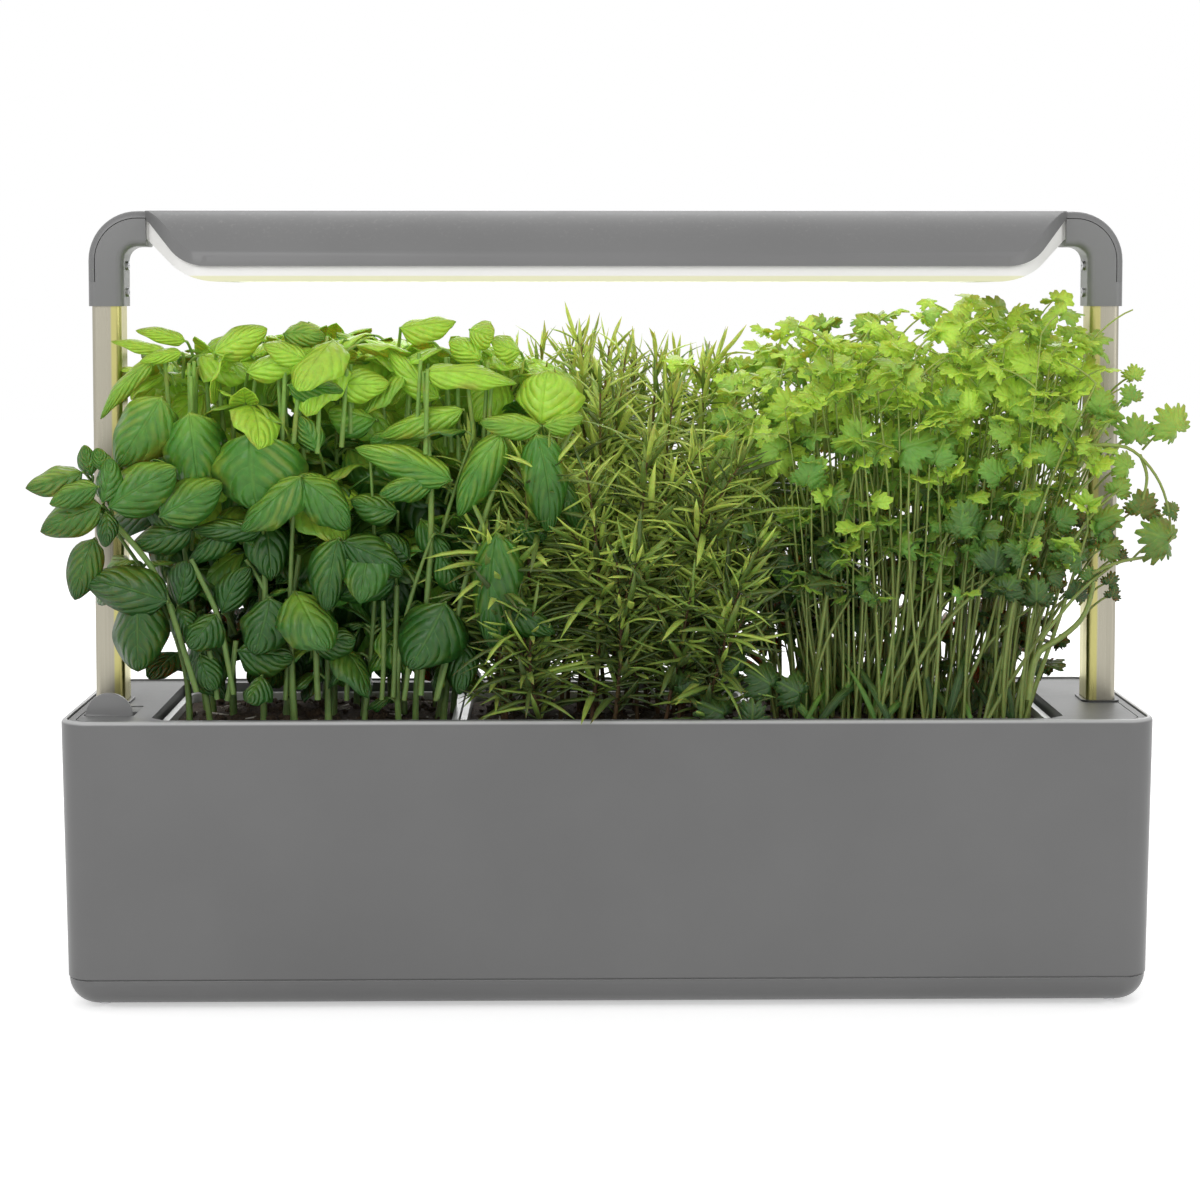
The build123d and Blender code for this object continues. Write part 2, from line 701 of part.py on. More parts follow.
switch_top_y = back_inner_y - button_flange_height - button_travel - seat_gap
posts = {}
post_plugs = {}
for name, side in sides.items():
    with BuildPart() as post:
        with BuildSketch(level(post_bottom + plug_flange, side * post_x)):
            RectangleRounded(post_width, post_depth, post_corner)
            RectangleRounded(post_width - 2 * post_wall, post_depth - 2 * post_wall,
                             post_corner - post_wall, mode=Mode.SUBTRACT)
        extrude(amount=post_top - post_bottom - plug_flange)
        with BuildSketch(Plane(origin=(0, 0, low_screw_height), x_dir=(0, 1, 0),
                               z_dir=(side, 0, 0))):
            Circle(elbow_screw_radius)
        extrude(amount=post_x, mode=Mode.SUBTRACT)
    posts[name] = post
    with BuildPart() as plug:
        with BuildSketch(level(post_bottom, side * post_x)):
            RectangleRounded(post_width, post_depth, post_corner)
        extrude(amount=plug_flange)
        with BuildSketch(level(post_bottom + plug_flange, side * post_x)):
            RectangleRounded(post_width - 2 * post_wall - 2 * pin_gap,
                             post_depth - 2 * post_wall - 2 * pin_gap,
                             post_corner - post_wall - pin_gap)
        extrude(amount=plug_depth)
    post_plugs[name] = plug
left_post = posts["left"]
right_post = posts["right"]
left_post.part.label = "left_post"
right_post.part.label = "right_post"
left_post_plug = post_plugs["left"]
right_post_plug = post_plugs["right"]
left_post_plug.part.label = "left_post_plug"
right_post_plug.part.label = "right_post_plug"

# Hood and light pan share one form: a plan, an elevation and a cross-section that intersect
hood_corner_x = 226.0
hood_corner_radius = 28.0
hood_end = 251.0
hood_lip_z = 394.0
hood_neck_z = lamp_top - spine_thickness
hood_wall = 2.2
hood_ridge_z = 399.0
hood_roof_depth = 30.0
hood_bulge = 3.0
neck_depth = pipe_depth


def lamp_form(inset, lip_z, corner_x, corner_round, end_x, end_z, roof_z):
    """The lamp's body: its plan and section less an inset, over an elevation of its own."""
    half_depth = lamp_depth / 2
    reach = 2 * body_length
    with BuildPart() as form:
        with BuildSketch(Plane.XZ) as elevation:
            with BuildLine():
                FilletPolyline((0, lip_z), (corner_x, lip_z), (end_x, end_z),
                               radius=corner_round)
                Polyline((end_x, end_z), (end_x, roof_z), (0, roof_z), (0, lip_z))
            make_face()
            mirror(about=Plane.YZ)
        extrude(amount=lamp_depth, both=True)
        with BuildSketch(ground) as plan:
            with BuildLine():
                FilletPolyline((0, half_depth), (hood_corner_x, half_depth),
                               (hood_end, neck_depth / 2), radius=hood_corner_radius)
                Polyline((hood_end, neck_depth / 2), (post_x, neck_depth / 2), (post_x, 0),
                         (0, 0), (0, half_depth))
            make_face()
            mirror(about=Plane.XZ)
            mirror(about=Plane.YZ)
            if inset:
                offset(amount=-inset, kind=Kind.INTERSECTION, mode=Mode.REPLACE)
        extrude(amount=reach, mode=Mode.INTERSECT)
        with BuildSketch(Plane.YZ) as section:
            with BuildLine():
                roof_half = hood_roof_depth / 2
                bulge_y = (half_depth + roof_half) / 2 + hood_bulge / 2
                bulge_z = (lamp_top + hood_ridge_z) / 2 + hood_bulge
                Polyline((0, 0), (0, lamp_top), (roof_half, lamp_top))
                ThreePointArc((roof_half, lamp_top), (bulge_y, bulge_z),
                              (half_depth, hood_ridge_z))
                Polyline((half_depth, hood_ridge_z), (half_depth, 0), (0, 0))
            make_face()
            mirror(about=Plane.YZ)
            if inset:
                offset(amount=-inset, kind=Kind.INTERSECTION, mode=Mode.REPLACE)
        extrude(amount=reach, both=True, mode=Mode.INTERSECT)
    return form.part


def spine_part(side):
    """The hood's strip over one elbow, with a boss that takes the upper elbow screw."""
    with BuildPart() as spine:
        with BuildLine(Plane.XZ) as route:
            pipe_route(side, spine_bottom, hood_end - hood_wall)
        with BuildSketch(level(spine_bottom, side * post_x)):
            strip_outline(side, spine_thickness)
        sweep(path=route.line)
        boss_start = Plane(origin=(side * (pipe_outer_x - spine_thickness / 2), 0,
                                   high_screw_height), x_dir=(0, 1, 0), z_dir=(-side, 0, 0))
        with BuildSketch(boss_start):
            Circle(boss_radius)
        extrude(amount=post_width - spine_thickness)
        with BuildSketch(boss_start):
            Circle(elbow_screw_radius - screw_bite)
        extrude(amount=post_width, mode=Mode.SUBTRACT)
    return spine.part


hood_outer = lamp_form(0, hood_lip_z, hood_corner_x, hood_corner_radius, hood_end, hood_neck_z,
                       lamp_top)
hood_hollow = lamp_form(hood_wall, hood_lip_z - overrun, hood_corner_x + overrun,
                        hood_corner_radius, hood_end, hood_neck_z - overrun, lamp_top)
spines = [spine_part(side) for side in sides.values()]
with BuildPart() as hood_cover:
    add(hood_outer)
    add(hood_hollow, mode=Mode.SUBTRACT)
    add(spines)
hood_cover.part.label = "hood_cover"

# Light pan: the white lining under the hood, open below for the diffuser
pan_wall_thickness = 1.8
pan_clearance = 0.4
pan_lip_z = 385.6
pan_corner_x = 223.4
pan_corner_radius = 43.0
pan_neck_z = 409.0
window_length = 400.0
window_depth = 70.0
window_corner = 12.0
light_sheet_thickness = 2.0
sheet_ledge = 2.0
pan_inset = hood_wall + pan_clearance
pan_roof_inset = pan_inset + pan_wall_thickness
pan_roof_z = hood_neck_z - pan_clearance
pan_outer = lamp_form(pan_inset, pan_lip_z, pan_corner_x, pan_corner_radius, elbow_end,
                      pan_neck_z, pan_roof_z)
pan_hollow = lamp_form(pan_roof_inset, pan_lip_z + pan_wall_thickness, pan_corner_x,
                       pan_corner_radius, elbow_end - pan_wall_thickness,
                       pan_neck_z + pan_wall_thickness, pan_roof_z - pan_wall_thickness)
with BuildPart() as pan_shell:
    add(pan_outer)
    add(pan_hollow, mode=Mode.SUBTRACT)
    with BuildSketch(level(pan_lip_z - overrun)):
        RectangleRounded(window_length, window_depth, window_corner)
    extrude(amount=overrun + pan_wall_thickness + overrun, mode=Mode.SUBTRACT)
    for side in sides.values():
        tenon_hole_plane = Plane(origin=(side * elbow_end, 0, pipe_axis_z), x_dir=(0, 1, 0),
                                 z_dir=(-side, 0, 0))
        with BuildSketch(tenon_hole_plane.offset(-overrun)):
            RectangleRounded(tenon_depth + 2 * seat_gap, tenon_height + 2 * seat_gap,
                             tenon_corner)
        extrude(amount=overrun + pan_wall_thickness + overrun, mode=Mode.SUBTRACT)

# Diffuser: a frosted sheet behind the window, resting on the pan's floor
sheet_bottom = pan_lip_z + pan_wall_thickness
with BuildPart() as diffuser:
    with BuildSketch(level(sheet_bottom)):
        RectangleRounded(window_length + 2 * sheet_ledge, window_depth + 2 * sheet_ledge,
                         window_corner + sheet_ledge)
    extrude(amount=light_sheet_thickness)
    with BuildSketch(level(sheet_bottom - pan_wall_thickness)):
        RectangleRounded(window_length - 2 * seat_gap, window_depth - 2 * seat_gap,
                         window_corner)
    extrude(amount=pan_wall_thickness)
diffuser.part.label = "diffuser"

# LED board, its packages and the driver board, hung from the pan's roof on standoffs
board_length = 390.0
board_depth = 56.0
board_thickness = 1.6
board_z = 396.0
led_side = 3.5
led_height = 0.8
led_columns = 22
led_rows = 4
led_pitch_x = 16.0
led_pitch_y = 14.0
driver_length = 118.0
driver_depth = 24.0
driver_z = 402.0
driver_thickness = 1.6
coil_height = 9.0
coil_length = 26.0
coil_depth = 16.0
terminal_side = 8.0
standoff_radius = 3.0
standoff_x = 180.0
standoff_y = 20.0
standoff_drop = 6.6
driver_post_x = 34.0
driver_post_drop = 5.0
board_screw_head_radius = 2.4
board_screw_head_height = 1.2
board_screw_radius = 1.2
board_screw_length = 6.0
standoff_places = [(sx * standoff_x, sy * standoff_y) for sx in both_ways for sy in both_ways]
driver_post_places = [(sx * driver_post_x, 0) for sx in both_ways]
board_top = board_z + board_thickness
driver_top = driver_z + driver_thickness

with BuildPart(mode=Mode.PRIVATE) as standoffs:
    with BuildSketch(level(board_top)):
        with Locations(*standoff_places):
            Circle(standoff_radius)
            Circle(board_screw_radius - pin_gap, mode=Mode.SUBTRACT)
    extrude(amount=lamp_top - standoff_drop - board_top)
    with BuildSketch(level(driver_top)):
        with Locations(*driver_post_places):
            Circle(standoff_radius)
            Circle(board_screw_radius - pin_gap, mode=Mode.SUBTRACT)
    extrude(amount=lamp_top - driver_post_drop - driver_top)

with BuildPart() as light_pan:
    add(pan_shell.part)
    add(standoffs.part)
light_pan.part.label = "light_pan"

with BuildPart() as led_board:
    with BuildSketch(level(board_z)):
        Rectangle(board_length, board_depth)
        with Locations(*standoff_places):
            Circle(board_screw_radius, mode=Mode.SUBTRACT)
    extrude(amount=board_thickness)
led_board.part.label = "led_board"

with BuildPart() as leds:
    with BuildSketch(level(board_z - led_height)):
        with GridLocations(led_pitch_x, led_pitch_y, led_columns, led_rows):
            Rectangle(led_side, led_side)
    extrude(amount=led_height)
leds.part.label = "leds"

with BuildPart() as driver_board:
    with BuildSketch(level(driver_z)):
        Rectangle(driver_length, driver_depth)
        with Locations(*driver_post_places):
            Circle(board_screw_radius, mode=Mode.SUBTRACT)
    extrude(amount=driver_thickness)
    with BuildSketch(level(driver_top)):
        Rectangle(coil_length, coil_depth)
    extrude(amount=coil_height)
    with BuildSketch(level(board_top + seat_gap)):
        with GridLocations(driver_length - terminal_side, 1, 2, 1):
            Rectangle(terminal_side, terminal_side)
    extrude(amount=driver_z - board_top - seat_gap)
driver_board.part.label = "driver_board"

board_screw_seats = [level(board_z, *place) for place in standoff_places]
board_screw_seats += [level(driver_z, *place) for place in driver_post_places]
board_screw_parts = [
    screw(board_screw_head_radius, board_screw_head_height, board_screw_radius - 2 * pin_gap,
          board_screw_length, seat) for seat in board_screw_seats
]
with BuildPart() as board_screws:
    add(board_screw_parts)
board_screws.part.label = "board_screws"

# Elbow screws: the lower pair holds the posts, the upper pair draws the spine down
elbow_screw_parts = []
for side in sides.values():
    for height, length in ((low_screw_height, elbow_low_screw_length),
                           (high_screw_height, elbow_high_screw_length)):
        seat = Plane(origin=(side * pipe_inner_x, 0, height), x_dir=(0, 1, 0),
                     z_dir=(side, 0, 0))
        elbow_screw_parts.append(screw(elbow_head_radius, elbow_head_height,
                                       elbow_screw_radius - screw_bite - pin_gap, length, seat))
with BuildPart() as elbow_screws:
    add(elbow_screw_parts)
elbow_screws.part.label = "elbow_screws"

# Leads: each runs from its fitting through the tenon and along the LED board to the driver
lead_radius = 1.0
lead_exit_rise = 2.3
lead_y = 4.0
lead_run_share = 0.45
lead_z = board_top + seat_gap + lead_radius
inlet_inner_x = fitting_x - inlet_body_side / 2
terminal_x = driver_length / 2
lead_points = [
    (inlet_inner_x, lead_y, fitting_z + lead_exit_rise),
    (259.0, lead_y, fitting_z + lead_exit_rise),
    (251.0, 3.6, 414.7),
    (240.0, 3.0, 414.2),
    (226.0, 1.8, 407.2),
    (213.0, 0.8, 400.2),
    (195.0, 1.8, lead_z),
    (158.0, -2.5, lead_z),
    (118.0, 2.5, lead_z),
    (80.0, 0.0, lead_z),
    (terminal_x, 0.0, lead_z),
]


def corner_radii(points):
    """The largest easy radius at each corner of a route, from its runs and its turn."""
    radii = []
    for before, here, after in zip(points, points[1:], points[2:]):
        run_in = Vector(*here) - Vector(*before)
        run_out = Vector(*after) - Vector(*here)
        turn = radians(run_in.get_angle(run_out))
        shorter = min(run_in.length, run_out.length)
        radii.append(lead_run_share * shorter / tan(turn / 2))
    return radii


def lead_part(points):
    """A round lead along straight runs joined by tangent arcs."""
    with BuildPart() as lead:
        with BuildLine() as route:
            path = FilletPolyline(*points, radius=corner_radii(points))
        start = Vector(*points[0])
        with BuildSketch(Plane(origin=start, z_dir=Vector(*points[1]) - start)):
            Circle(lead_radius)
        sweep(path=path)
    print("lead: least radius", round(min(corner_radii(points)), 1), "length",
          round(path.length, 1), "volume over section times length",
          round(lead.part.volume / (pi * lead_radius ** 2 * path.length), 4))
    return lead.part


with BuildPart() as supply_lead:
    add(lead_part(lead_points))
supply_lead.part.label = "supply_lead"

switch_block_side = 6.0
switch_block_depth = 4.0
with BuildPart() as switch_board:
    board_back_y = switch_top_y - switch_height - switch_board_thickness
    with BuildSketch(back_plane(sides["left"], board_back_y + switch_board_thickness)):
        Rectangle(switch_side, switch_side)
    extrude(amount=switch_height)
    with BuildSketch(back_plane(sides["left"], board_back_y)):
        Rectangle(switch_board_side, switch_board_side)
    extrude(amount=switch_board_thickness)
    with BuildSketch(back_plane(sides["left"], board_back_y - switch_block_depth)):
        Rectangle(switch_block_side, switch_block_side)
    extrude(amount=switch_block_depth)
switch_board.part.label = "switch_board"

switch_exit_y = board_back_y - switch_block_depth / 2
switch_exit_z = fitting_z + switch_block_side / 2 - lead_radius - seat_gap
switch_lead_points = [
    (switch_block_side / 2 - fitting_x, switch_exit_y, switch_exit_z),
    (-259.5, switch_exit_y, switch_exit_z),
]
switch_lead_points += [(-px, py, pz) for px, py, pz in lead_points[2:]]
with BuildPart() as switch_lead:
    add(lead_part(switch_lead_points))
switch_lead.part.label = "switch_lead"

# Plants: stems that start flat on the soil and leaves placed by turns of the golden angle
golden_angle = 137.5
plant_reach_left = 314.0
plant_reach_right = 320.0
plant_half_depth = 84.0
plant_ceiling = 376.0
plant_floor_gap = 8.0
plant_floor = deck_top + plant_floor_gap
post_clearance = 4.0
stem_root = 5.0
top_share = 0.985


def stem_between(foot, tip, radius):
    """A round stem from a foot below the soil's top to a tip."""
    run = Vector(*tip) - Vector(*foot)
    with BuildPart() as stem:
        with BuildSketch(Plane(origin=foot, z_dir=run)):
            Circle(radius)
        extrude(amount=run.length)
    return stem.part


def pointed_leaf(length, width, thickness):
    """A flat leaf between two arcs, its stalk end at the origin and its tip along +X."""
    with BuildPart() as leaf:
        with BuildSketch():
            with BuildLine():
                ThreePointArc((0, 0), (length / 2, width / 2), (length, 0))
                ThreePointArc((length, 0), (length / 2, -width / 2), (0, 0))
            make_face()
        extrude(amount=thickness)
    return leaf.part


def fan_leaf(stalk, size, thickness):
    """A scalloped fan of lobes on a narrow stalk, pointing along +X."""
    lobes = 3
    sweep_angle = 210.0
    notch_share = 0.6
    stalk_share = 0.09
    points = [(stalk, 0)]
    for step in range(2 * lobes + 1):
        angle = radians(sweep_angle * (step / (2 * lobes) - 1 / 2))
        reach = size if step % 2 else size * notch_share
        points.append((stalk + reach * cos(angle), reach * sin(angle)))
    with BuildPart() as leaf:
        with BuildSketch():
            Polygon(*points, align=None)
            with Locations((stalk / 2, 0)):
                Rectangle(stalk + size * stalk_share, size * stalk_share * 2)
        extrude(amount=thickness)
    return leaf.part


def keeps_clear(tip, half_width, zone):
    """True where a leaf's tip stays in its zone and away from the posts."""
    low, high = zone
    by_post = (abs(tip.X) + half_width > post_x - post_width / 2 - post_clearance
               and abs(tip.Y) - half_width < post_depth / 2 + post_clearance)
    return (low <= tip.X <= high and not by_post and abs(tip.Y) < plant_half_depth
            and plant_floor < tip.Z < plant_ceiling)


def leaves_along(foot, tip, leaf, leaf_length, half_width, zone, first_share, levels,
                 per_level, low_pitch, high_pitch, sway, turn):
    """Copies of a leaf round a stem, from a share of its height up to its tip."""
    run = Vector(*tip) - Vector(*foot)
    found = []
    for number in range(levels):
        climb = number / max(levels - 1, 1)
        place = Vector(*foot) + run * (first_share + (top_share - first_share) * climb)
        for index in range(per_level):
            yaw = turn + golden_angle * number + 360 / per_level * index
            pitch = low_pitch + (high_pitch - low_pitch) * climb + sway * sin(number + 2 * index)
            stance = Location(tuple(place), (0, 0, yaw)) * Location((0, 0, 0), (0, pitch, 0))
            leaf_tip = (stance * Location((leaf_length, 0, 0))).position
            if keeps_clear(leaf_tip, half_width, zone):
                found.append(leaf.moved(stance))
    return found


def rows(columns, pitch_x, pitch_y, pot_place):
    """Stem feet in two staggered rows across a pot."""
    return [(pot_place[0] + (column - (columns - 1) / 2) * pitch_x + row * pitch_x / 4,
             row * pitch_y, soil_top - stem_root)
            for column in range(columns) for row in both_ways]


# Basil: thick upright stems with broad leaves, and a low branch past the left post
basil_columns = 5
basil_pitch_x = 26.0
basil_pitch_y = 28.0
basil_height = 196.0
basil_height_swing = 14.0
basil_stem_radius = 2.2
basil_leaf_length = 48.0
basil_leaf_width = 34.0
basil_leaf_thickness = 1.4
basil_levels = 4
basil_per_level = 2
basil_low_pitch = 34.0
basil_high_pitch = -26.0
basil_sway = 16.0
basil_limit = 60.0
basil_first_share = 0.42
basil_splay = 0.32
basil_branch_foot = (-226.0, -40.0, soil_top - stem_root)
basil_branch_tip = (basil_leaf_length - plant_reach_left, -44.0, 296.0)
basil_branch_levels = 3
basil_branch_per_level = 3
basil_branch_pitch = 14.0
basil_branch_turn = 180.0
basil_zone = (-plant_reach_left, -basil_limit - basil_leaf_width / 2)
basil_leaf = pointed_leaf(basil_leaf_length, basil_leaf_width, basil_leaf_thickness)
basil_parts = []
for index, foot in enumerate(rows(basil_columns, basil_pitch_x, basil_pitch_y, pot_places[0])):
    height = basil_height + basil_height_swing * sin(golden_angle * index)
    middle_x = pot_places[0][0]
    tip = (foot[0] + (foot[0] - middle_x) * basil_splay, foot[1] * (1 + basil_splay),
           foot[2] + height)
    basil_parts.append(stem_between(foot, tip, basil_stem_radius))
    basil_parts += leaves_along(foot, tip, basil_leaf, basil_leaf_length, basil_leaf_width / 4,
                                basil_zone, basil_first_share, basil_levels, basil_per_level,
                                basil_low_pitch, basil_high_pitch, basil_sway,
                                golden_angle * index)
basil_parts.append(stem_between(basil_branch_foot, basil_branch_tip, basil_stem_radius))
basil_parts += leaves_along(basil_branch_foot, basil_branch_tip, basil_leaf, basil_leaf_length,
                            basil_leaf_width / 4, basil_zone, basil_first_share,
                            basil_branch_levels, basil_branch_per_level, basil_branch_pitch,
                            0, 0, basil_branch_turn - golden_angle * (basil_branch_levels - 1))
with BuildPart() as basil_plant:
    add(basil_parts)
    split(bisect_by=level(soil_top), keep=Keep.TOP)
basil_plant.part.label = "basil_plant"

# Rosemary: woody stems set round with short needle leaves
rosemary_columns = 3
rosemary_pitch_x = 36.0
rosemary_pitch_y = 26.0
rosemary_height = 186.0
rosemary_height_swing = 18.0
rosemary_stem_radius = 1.8
rosemary_leaf_length = 30.0
rosemary_leaf_width = 4.4
rosemary_leaf_thickness = 1.4
rosemary_levels = 7
rosemary_per_level = 4
rosemary_low_pitch = -26.0
rosemary_high_pitch = -60.0
rosemary_sway = 8.0
rosemary_limit = 56.0
rosemary_first_share = 0.16
rosemary_splay = 0.18
rosemary_zone = (-rosemary_limit, rosemary_limit)
rosemary_leaf = pointed_leaf(rosemary_leaf_length, rosemary_leaf_width, rosemary_leaf_thickness)
rosemary_parts = []
for index, foot in enumerate(rows(rosemary_columns, rosemary_pitch_x, rosemary_pitch_y,
                                  pot_places[1])):
    height = rosemary_height + rosemary_height_swing * sin(golden_angle * index)
    tip = (foot[0] * (1 + rosemary_splay), foot[1] * (1 + rosemary_splay), foot[2] + height)
    rosemary_parts.append(stem_between(foot, tip, rosemary_stem_radius))
    rosemary_parts += leaves_along(foot, tip, rosemary_leaf, rosemary_leaf_length,
                                   rosemary_leaf_width / 2, rosemary_zone,
                                   rosemary_first_share, rosemary_levels, rosemary_per_level,
                                   rosemary_low_pitch, rosemary_high_pitch, rosemary_sway,
                                   golden_angle * index)
with BuildPart() as rosemary_plant:
    add(rosemary_parts)
    split(bisect_by=level(soil_top), keep=Keep.TOP)
rosemary_plant.part.label = "rosemary_plant"

# Coriander: many thin stems with fan leaves, spilling out past the right post
coriander_columns = 6
coriander_pitch_x = 22.0
coriander_pitch_y = 27.0
coriander_height = 212.0
coriander_height_swing = 13.0
coriander_stem_radius = 1.3
coriander_stalk = 13.0
coriander_leaf_size = 19.0
coriander_leaf_thickness = 1.1
coriander_levels = 3
coriander_per_level = 2
coriander_low_pitch = 8.0
coriander_high_pitch = -52.0
coriander_sway = 22.0
coriander_limit = 60.0
coriander_first_share = 0.46
coriander_splay = 0.3
coriander_branch_foot = (222.0, -40.0, soil_top - stem_root)
coriander_branch_tip = (plant_reach_right - coriander_stalk - coriander_leaf_size, -44.0, 312.0)
coriander_branch_levels = 4
coriander_branch_per_level = 3
coriander_branch_pitch = 24.0
coriander_zone = (coriander_limit + coriander_leaf_size, plant_reach_right)
coriander_leaf = fan_leaf(coriander_stalk, coriander_leaf_size, coriander_leaf_thickness)
coriander_reach = coriander_stalk + coriander_leaf_size
coriander_parts = []
for index, foot in enumerate(rows(coriander_columns, coriander_pitch_x, coriander_pitch_y,
                                  pot_places[2])):
    height = coriander_height + coriander_height_swing * sin(golden_angle * index)
    middle_x = pot_places[2][0]
    tip = (foot[0] + (foot[0] - middle_x) * coriander_splay, foot[1] * (1 + coriander_splay),
           foot[2] + height)
    coriander_parts.append(stem_between(foot, tip, coriander_stem_radius))
    coriander_parts += leaves_along(foot, tip, coriander_leaf, coriander_reach,
                                    coriander_leaf_size / 2, coriander_zone,
                                    coriander_first_share, coriander_levels,
                                    coriander_per_level, coriander_low_pitch,
                                    coriander_high_pitch, coriander_sway, golden_angle * index)
coriander_parts.append(stem_between(coriander_branch_foot, coriander_branch_tip,
                                    coriander_stem_radius))
coriander_parts += leaves_along(coriander_branch_foot, coriander_branch_tip, coriander_leaf,
                                coriander_reach, coriander_leaf_size / 2, coriander_zone,
                                coriander_first_share, coriander_branch_levels,
                                coriander_branch_per_level, coriander_branch_pitch, 0, 0,
                                -golden_angle * (coriander_branch_levels - 1))
with BuildPart() as coriander_plant:
    add(coriander_parts)
    split(bisect_by=level(soil_top), keep=Keep.TOP)
coriander_plant.part.label = "coriander_plant"

# Files
os.makedirs("parts", exist_ok=True)
export_step(planter_shell.part, "parts/planter_shell.step")
export_step(base_pan.part, "parts/base_pan.step")
export_step(feet.part, "parts/feet.step")
export_step(base_screws.part, "parts/base_screws.step")
export_step(socket_screws.part, "parts/socket_screws.step")
export_step(top_deck.part, "parts/top_deck.step")
export_step(flap_pin.part, "parts/flap_pin.step")
export_step(fill_flap.part, "parts/fill_flap.step")
export_step(reservoir_liner.part, "parts/reservoir_liner.step")
export_step(pot_platform.part, "parts/pot_platform.step")
export_step(platform_rails.part, "parts/platform_rails.step")
export_step(capillary_mat.part, "parts/capillary_mat.step")
export_step(pot_left.part, "parts/pot_left.step")
export_step(pot_middle.part, "parts/pot_middle.step")
export_step(pot_right.part, "parts/pot_right.step")
export_step(soil_left.part, "parts/soil_left.step")
export_step(soil_middle.part, "parts/soil_middle.step")
export_step(soil_right.part, "parts/soil_right.step")
export_step(basil_plant.part, "parts/basil_plant.step")
export_step(rosemary_plant.part, "parts/rosemary_plant.step")
export_step(coriander_plant.part, "parts/coriander_plant.step")
export_step(left_post_socket.part, "parts/left_post_socket.step")
export_step(right_post_socket.part, "parts/right_post_socket.step")
export_step(left_post.part, "parts/left_post.step")
export_step(right_post.part, "parts/right_post.step")
export_step(left_post_plug.part, "parts/left_post_plug.step")
export_step(right_post_plug.part, "parts/right_post_plug.step")
export_step(left_elbow.part, "parts/left_elbow.step")
export_step(right_elbow.part, "parts/right_elbow.step")
export_step(elbow_screws.part, "parts/elbow_screws.step")
export_step(hood_cover.part, "parts/hood_cover.step")
export_step(light_pan.part, "parts/light_pan.step")
export_step(diffuser.part, "parts/diffuser.step")
export_step(led_board.part, "parts/led_board.step")
export_step(leds.part, "parts/leds.step")
export_step(driver_board.part, "parts/driver_board.step")
export_step(board_screws.part, "parts/board_screws.step")
export_step(dc_inlet.part, "parts/dc_inlet.step")
export_step(supply_lead.part, "parts/supply_lead.step")
export_step(switch_board.part, "parts/switch_board.step")
export_step(switch_lead.part, "parts/switch_lead.step")
export_step(power_button.part, "parts/power_button.step")
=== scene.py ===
import json
import math
import random

import bmesh
import bpy
from mathutils import Matrix, Vector, noise


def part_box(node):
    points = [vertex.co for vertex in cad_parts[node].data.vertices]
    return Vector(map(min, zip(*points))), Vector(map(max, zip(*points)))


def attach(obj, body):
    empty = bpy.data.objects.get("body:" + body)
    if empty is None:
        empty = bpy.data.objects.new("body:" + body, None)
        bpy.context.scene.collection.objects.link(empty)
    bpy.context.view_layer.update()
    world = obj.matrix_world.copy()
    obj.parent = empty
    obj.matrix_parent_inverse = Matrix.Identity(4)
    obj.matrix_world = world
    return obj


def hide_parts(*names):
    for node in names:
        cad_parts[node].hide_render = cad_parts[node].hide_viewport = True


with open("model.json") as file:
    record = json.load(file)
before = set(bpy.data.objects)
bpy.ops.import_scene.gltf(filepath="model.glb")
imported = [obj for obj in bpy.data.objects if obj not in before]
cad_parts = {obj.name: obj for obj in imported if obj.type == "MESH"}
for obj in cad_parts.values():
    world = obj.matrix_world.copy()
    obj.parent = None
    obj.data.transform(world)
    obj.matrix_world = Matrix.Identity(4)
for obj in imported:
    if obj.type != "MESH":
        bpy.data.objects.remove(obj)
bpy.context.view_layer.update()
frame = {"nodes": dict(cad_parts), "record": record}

print("stage: frame loaded")


# helpers for shaders

def newGroup(name, inputs, outputs):
    tree = bpy.data.node_groups.new(name, "ShaderNodeTree")
    for label, start in inputs:
        socket = tree.interface.new_socket(name=label, in_out="INPUT", socket_type="NodeSocketFloat")
        socket.default_value = start
    for label in outputs:
        tree.interface.new_socket(name=label, in_out="OUTPUT", socket_type="NodeSocketFloat")
    return tree, tree.nodes.new("NodeGroupInput"), tree.nodes.new("NodeGroupOutput")


# an input takes either another node's output or a plain value
def feed(tree, socket, item):
    if hasattr(item, "is_output"):
        tree.links.new(item, socket)
    else:
        socket.default_value = (*item, 1.0) if socket.type == "RGBA" else item


# further items are worked in one after the other
def addMath(tree, operation, first, *others, clamp=False):
    result = first
    for other in others or (None,):
        node = tree.nodes.new("ShaderNodeMath")
        node.operation = operation
        feed(tree, node.inputs[0], result)
        if other is not None:
            feed(tree, node.inputs[1], other)
        result = node.outputs[0]
    node.use_clamp = clamp
    return result


def addRange(tree, value, low, high, outLow=0.0, outHigh=1.0, smooth=False):
    node = tree.nodes.new("ShaderNodeMapRange")
    node.interpolation_type = "SMOOTHSTEP" if smooth else "LINEAR"
    labels = ("Value", "From Min", "From Max", "To Min", "To Max")
    for label, item in zip(labels, (value, low, high, outLow, outHigh)):
        feed(tree, node.inputs[label], item)
    return node.outputs["Result"]


def addMix(tree, factor, first, second):
    node = tree.nodes.new("ShaderNodeMix")
    node.data_type = "RGBA"
    for slot, item in ((0, factor), (6, first), (7, second)):
        feed(tree, node.inputs[slot], item)
    return node.outputs[2]


def addNoise(tree, vector, scale, detail=3.0, roughness=0.55, distortion=0.0):
    node = tree.nodes.new("ShaderNodeTexNoise")
    labels = ("Vector", "Scale", "Detail", "Roughness", "Distortion")
    for label, item in zip(labels, (vector, scale, detail, roughness, distortion)):
        feed(tree, node.inputs[label], item)
    return node.outputs["Fac"]


def axisOf(tree, vector, axis):
    node = tree.nodes.new("ShaderNodeSeparateXYZ")
    tree.links.new(vector, node.inputs[0])
    return node.outputs[axis]


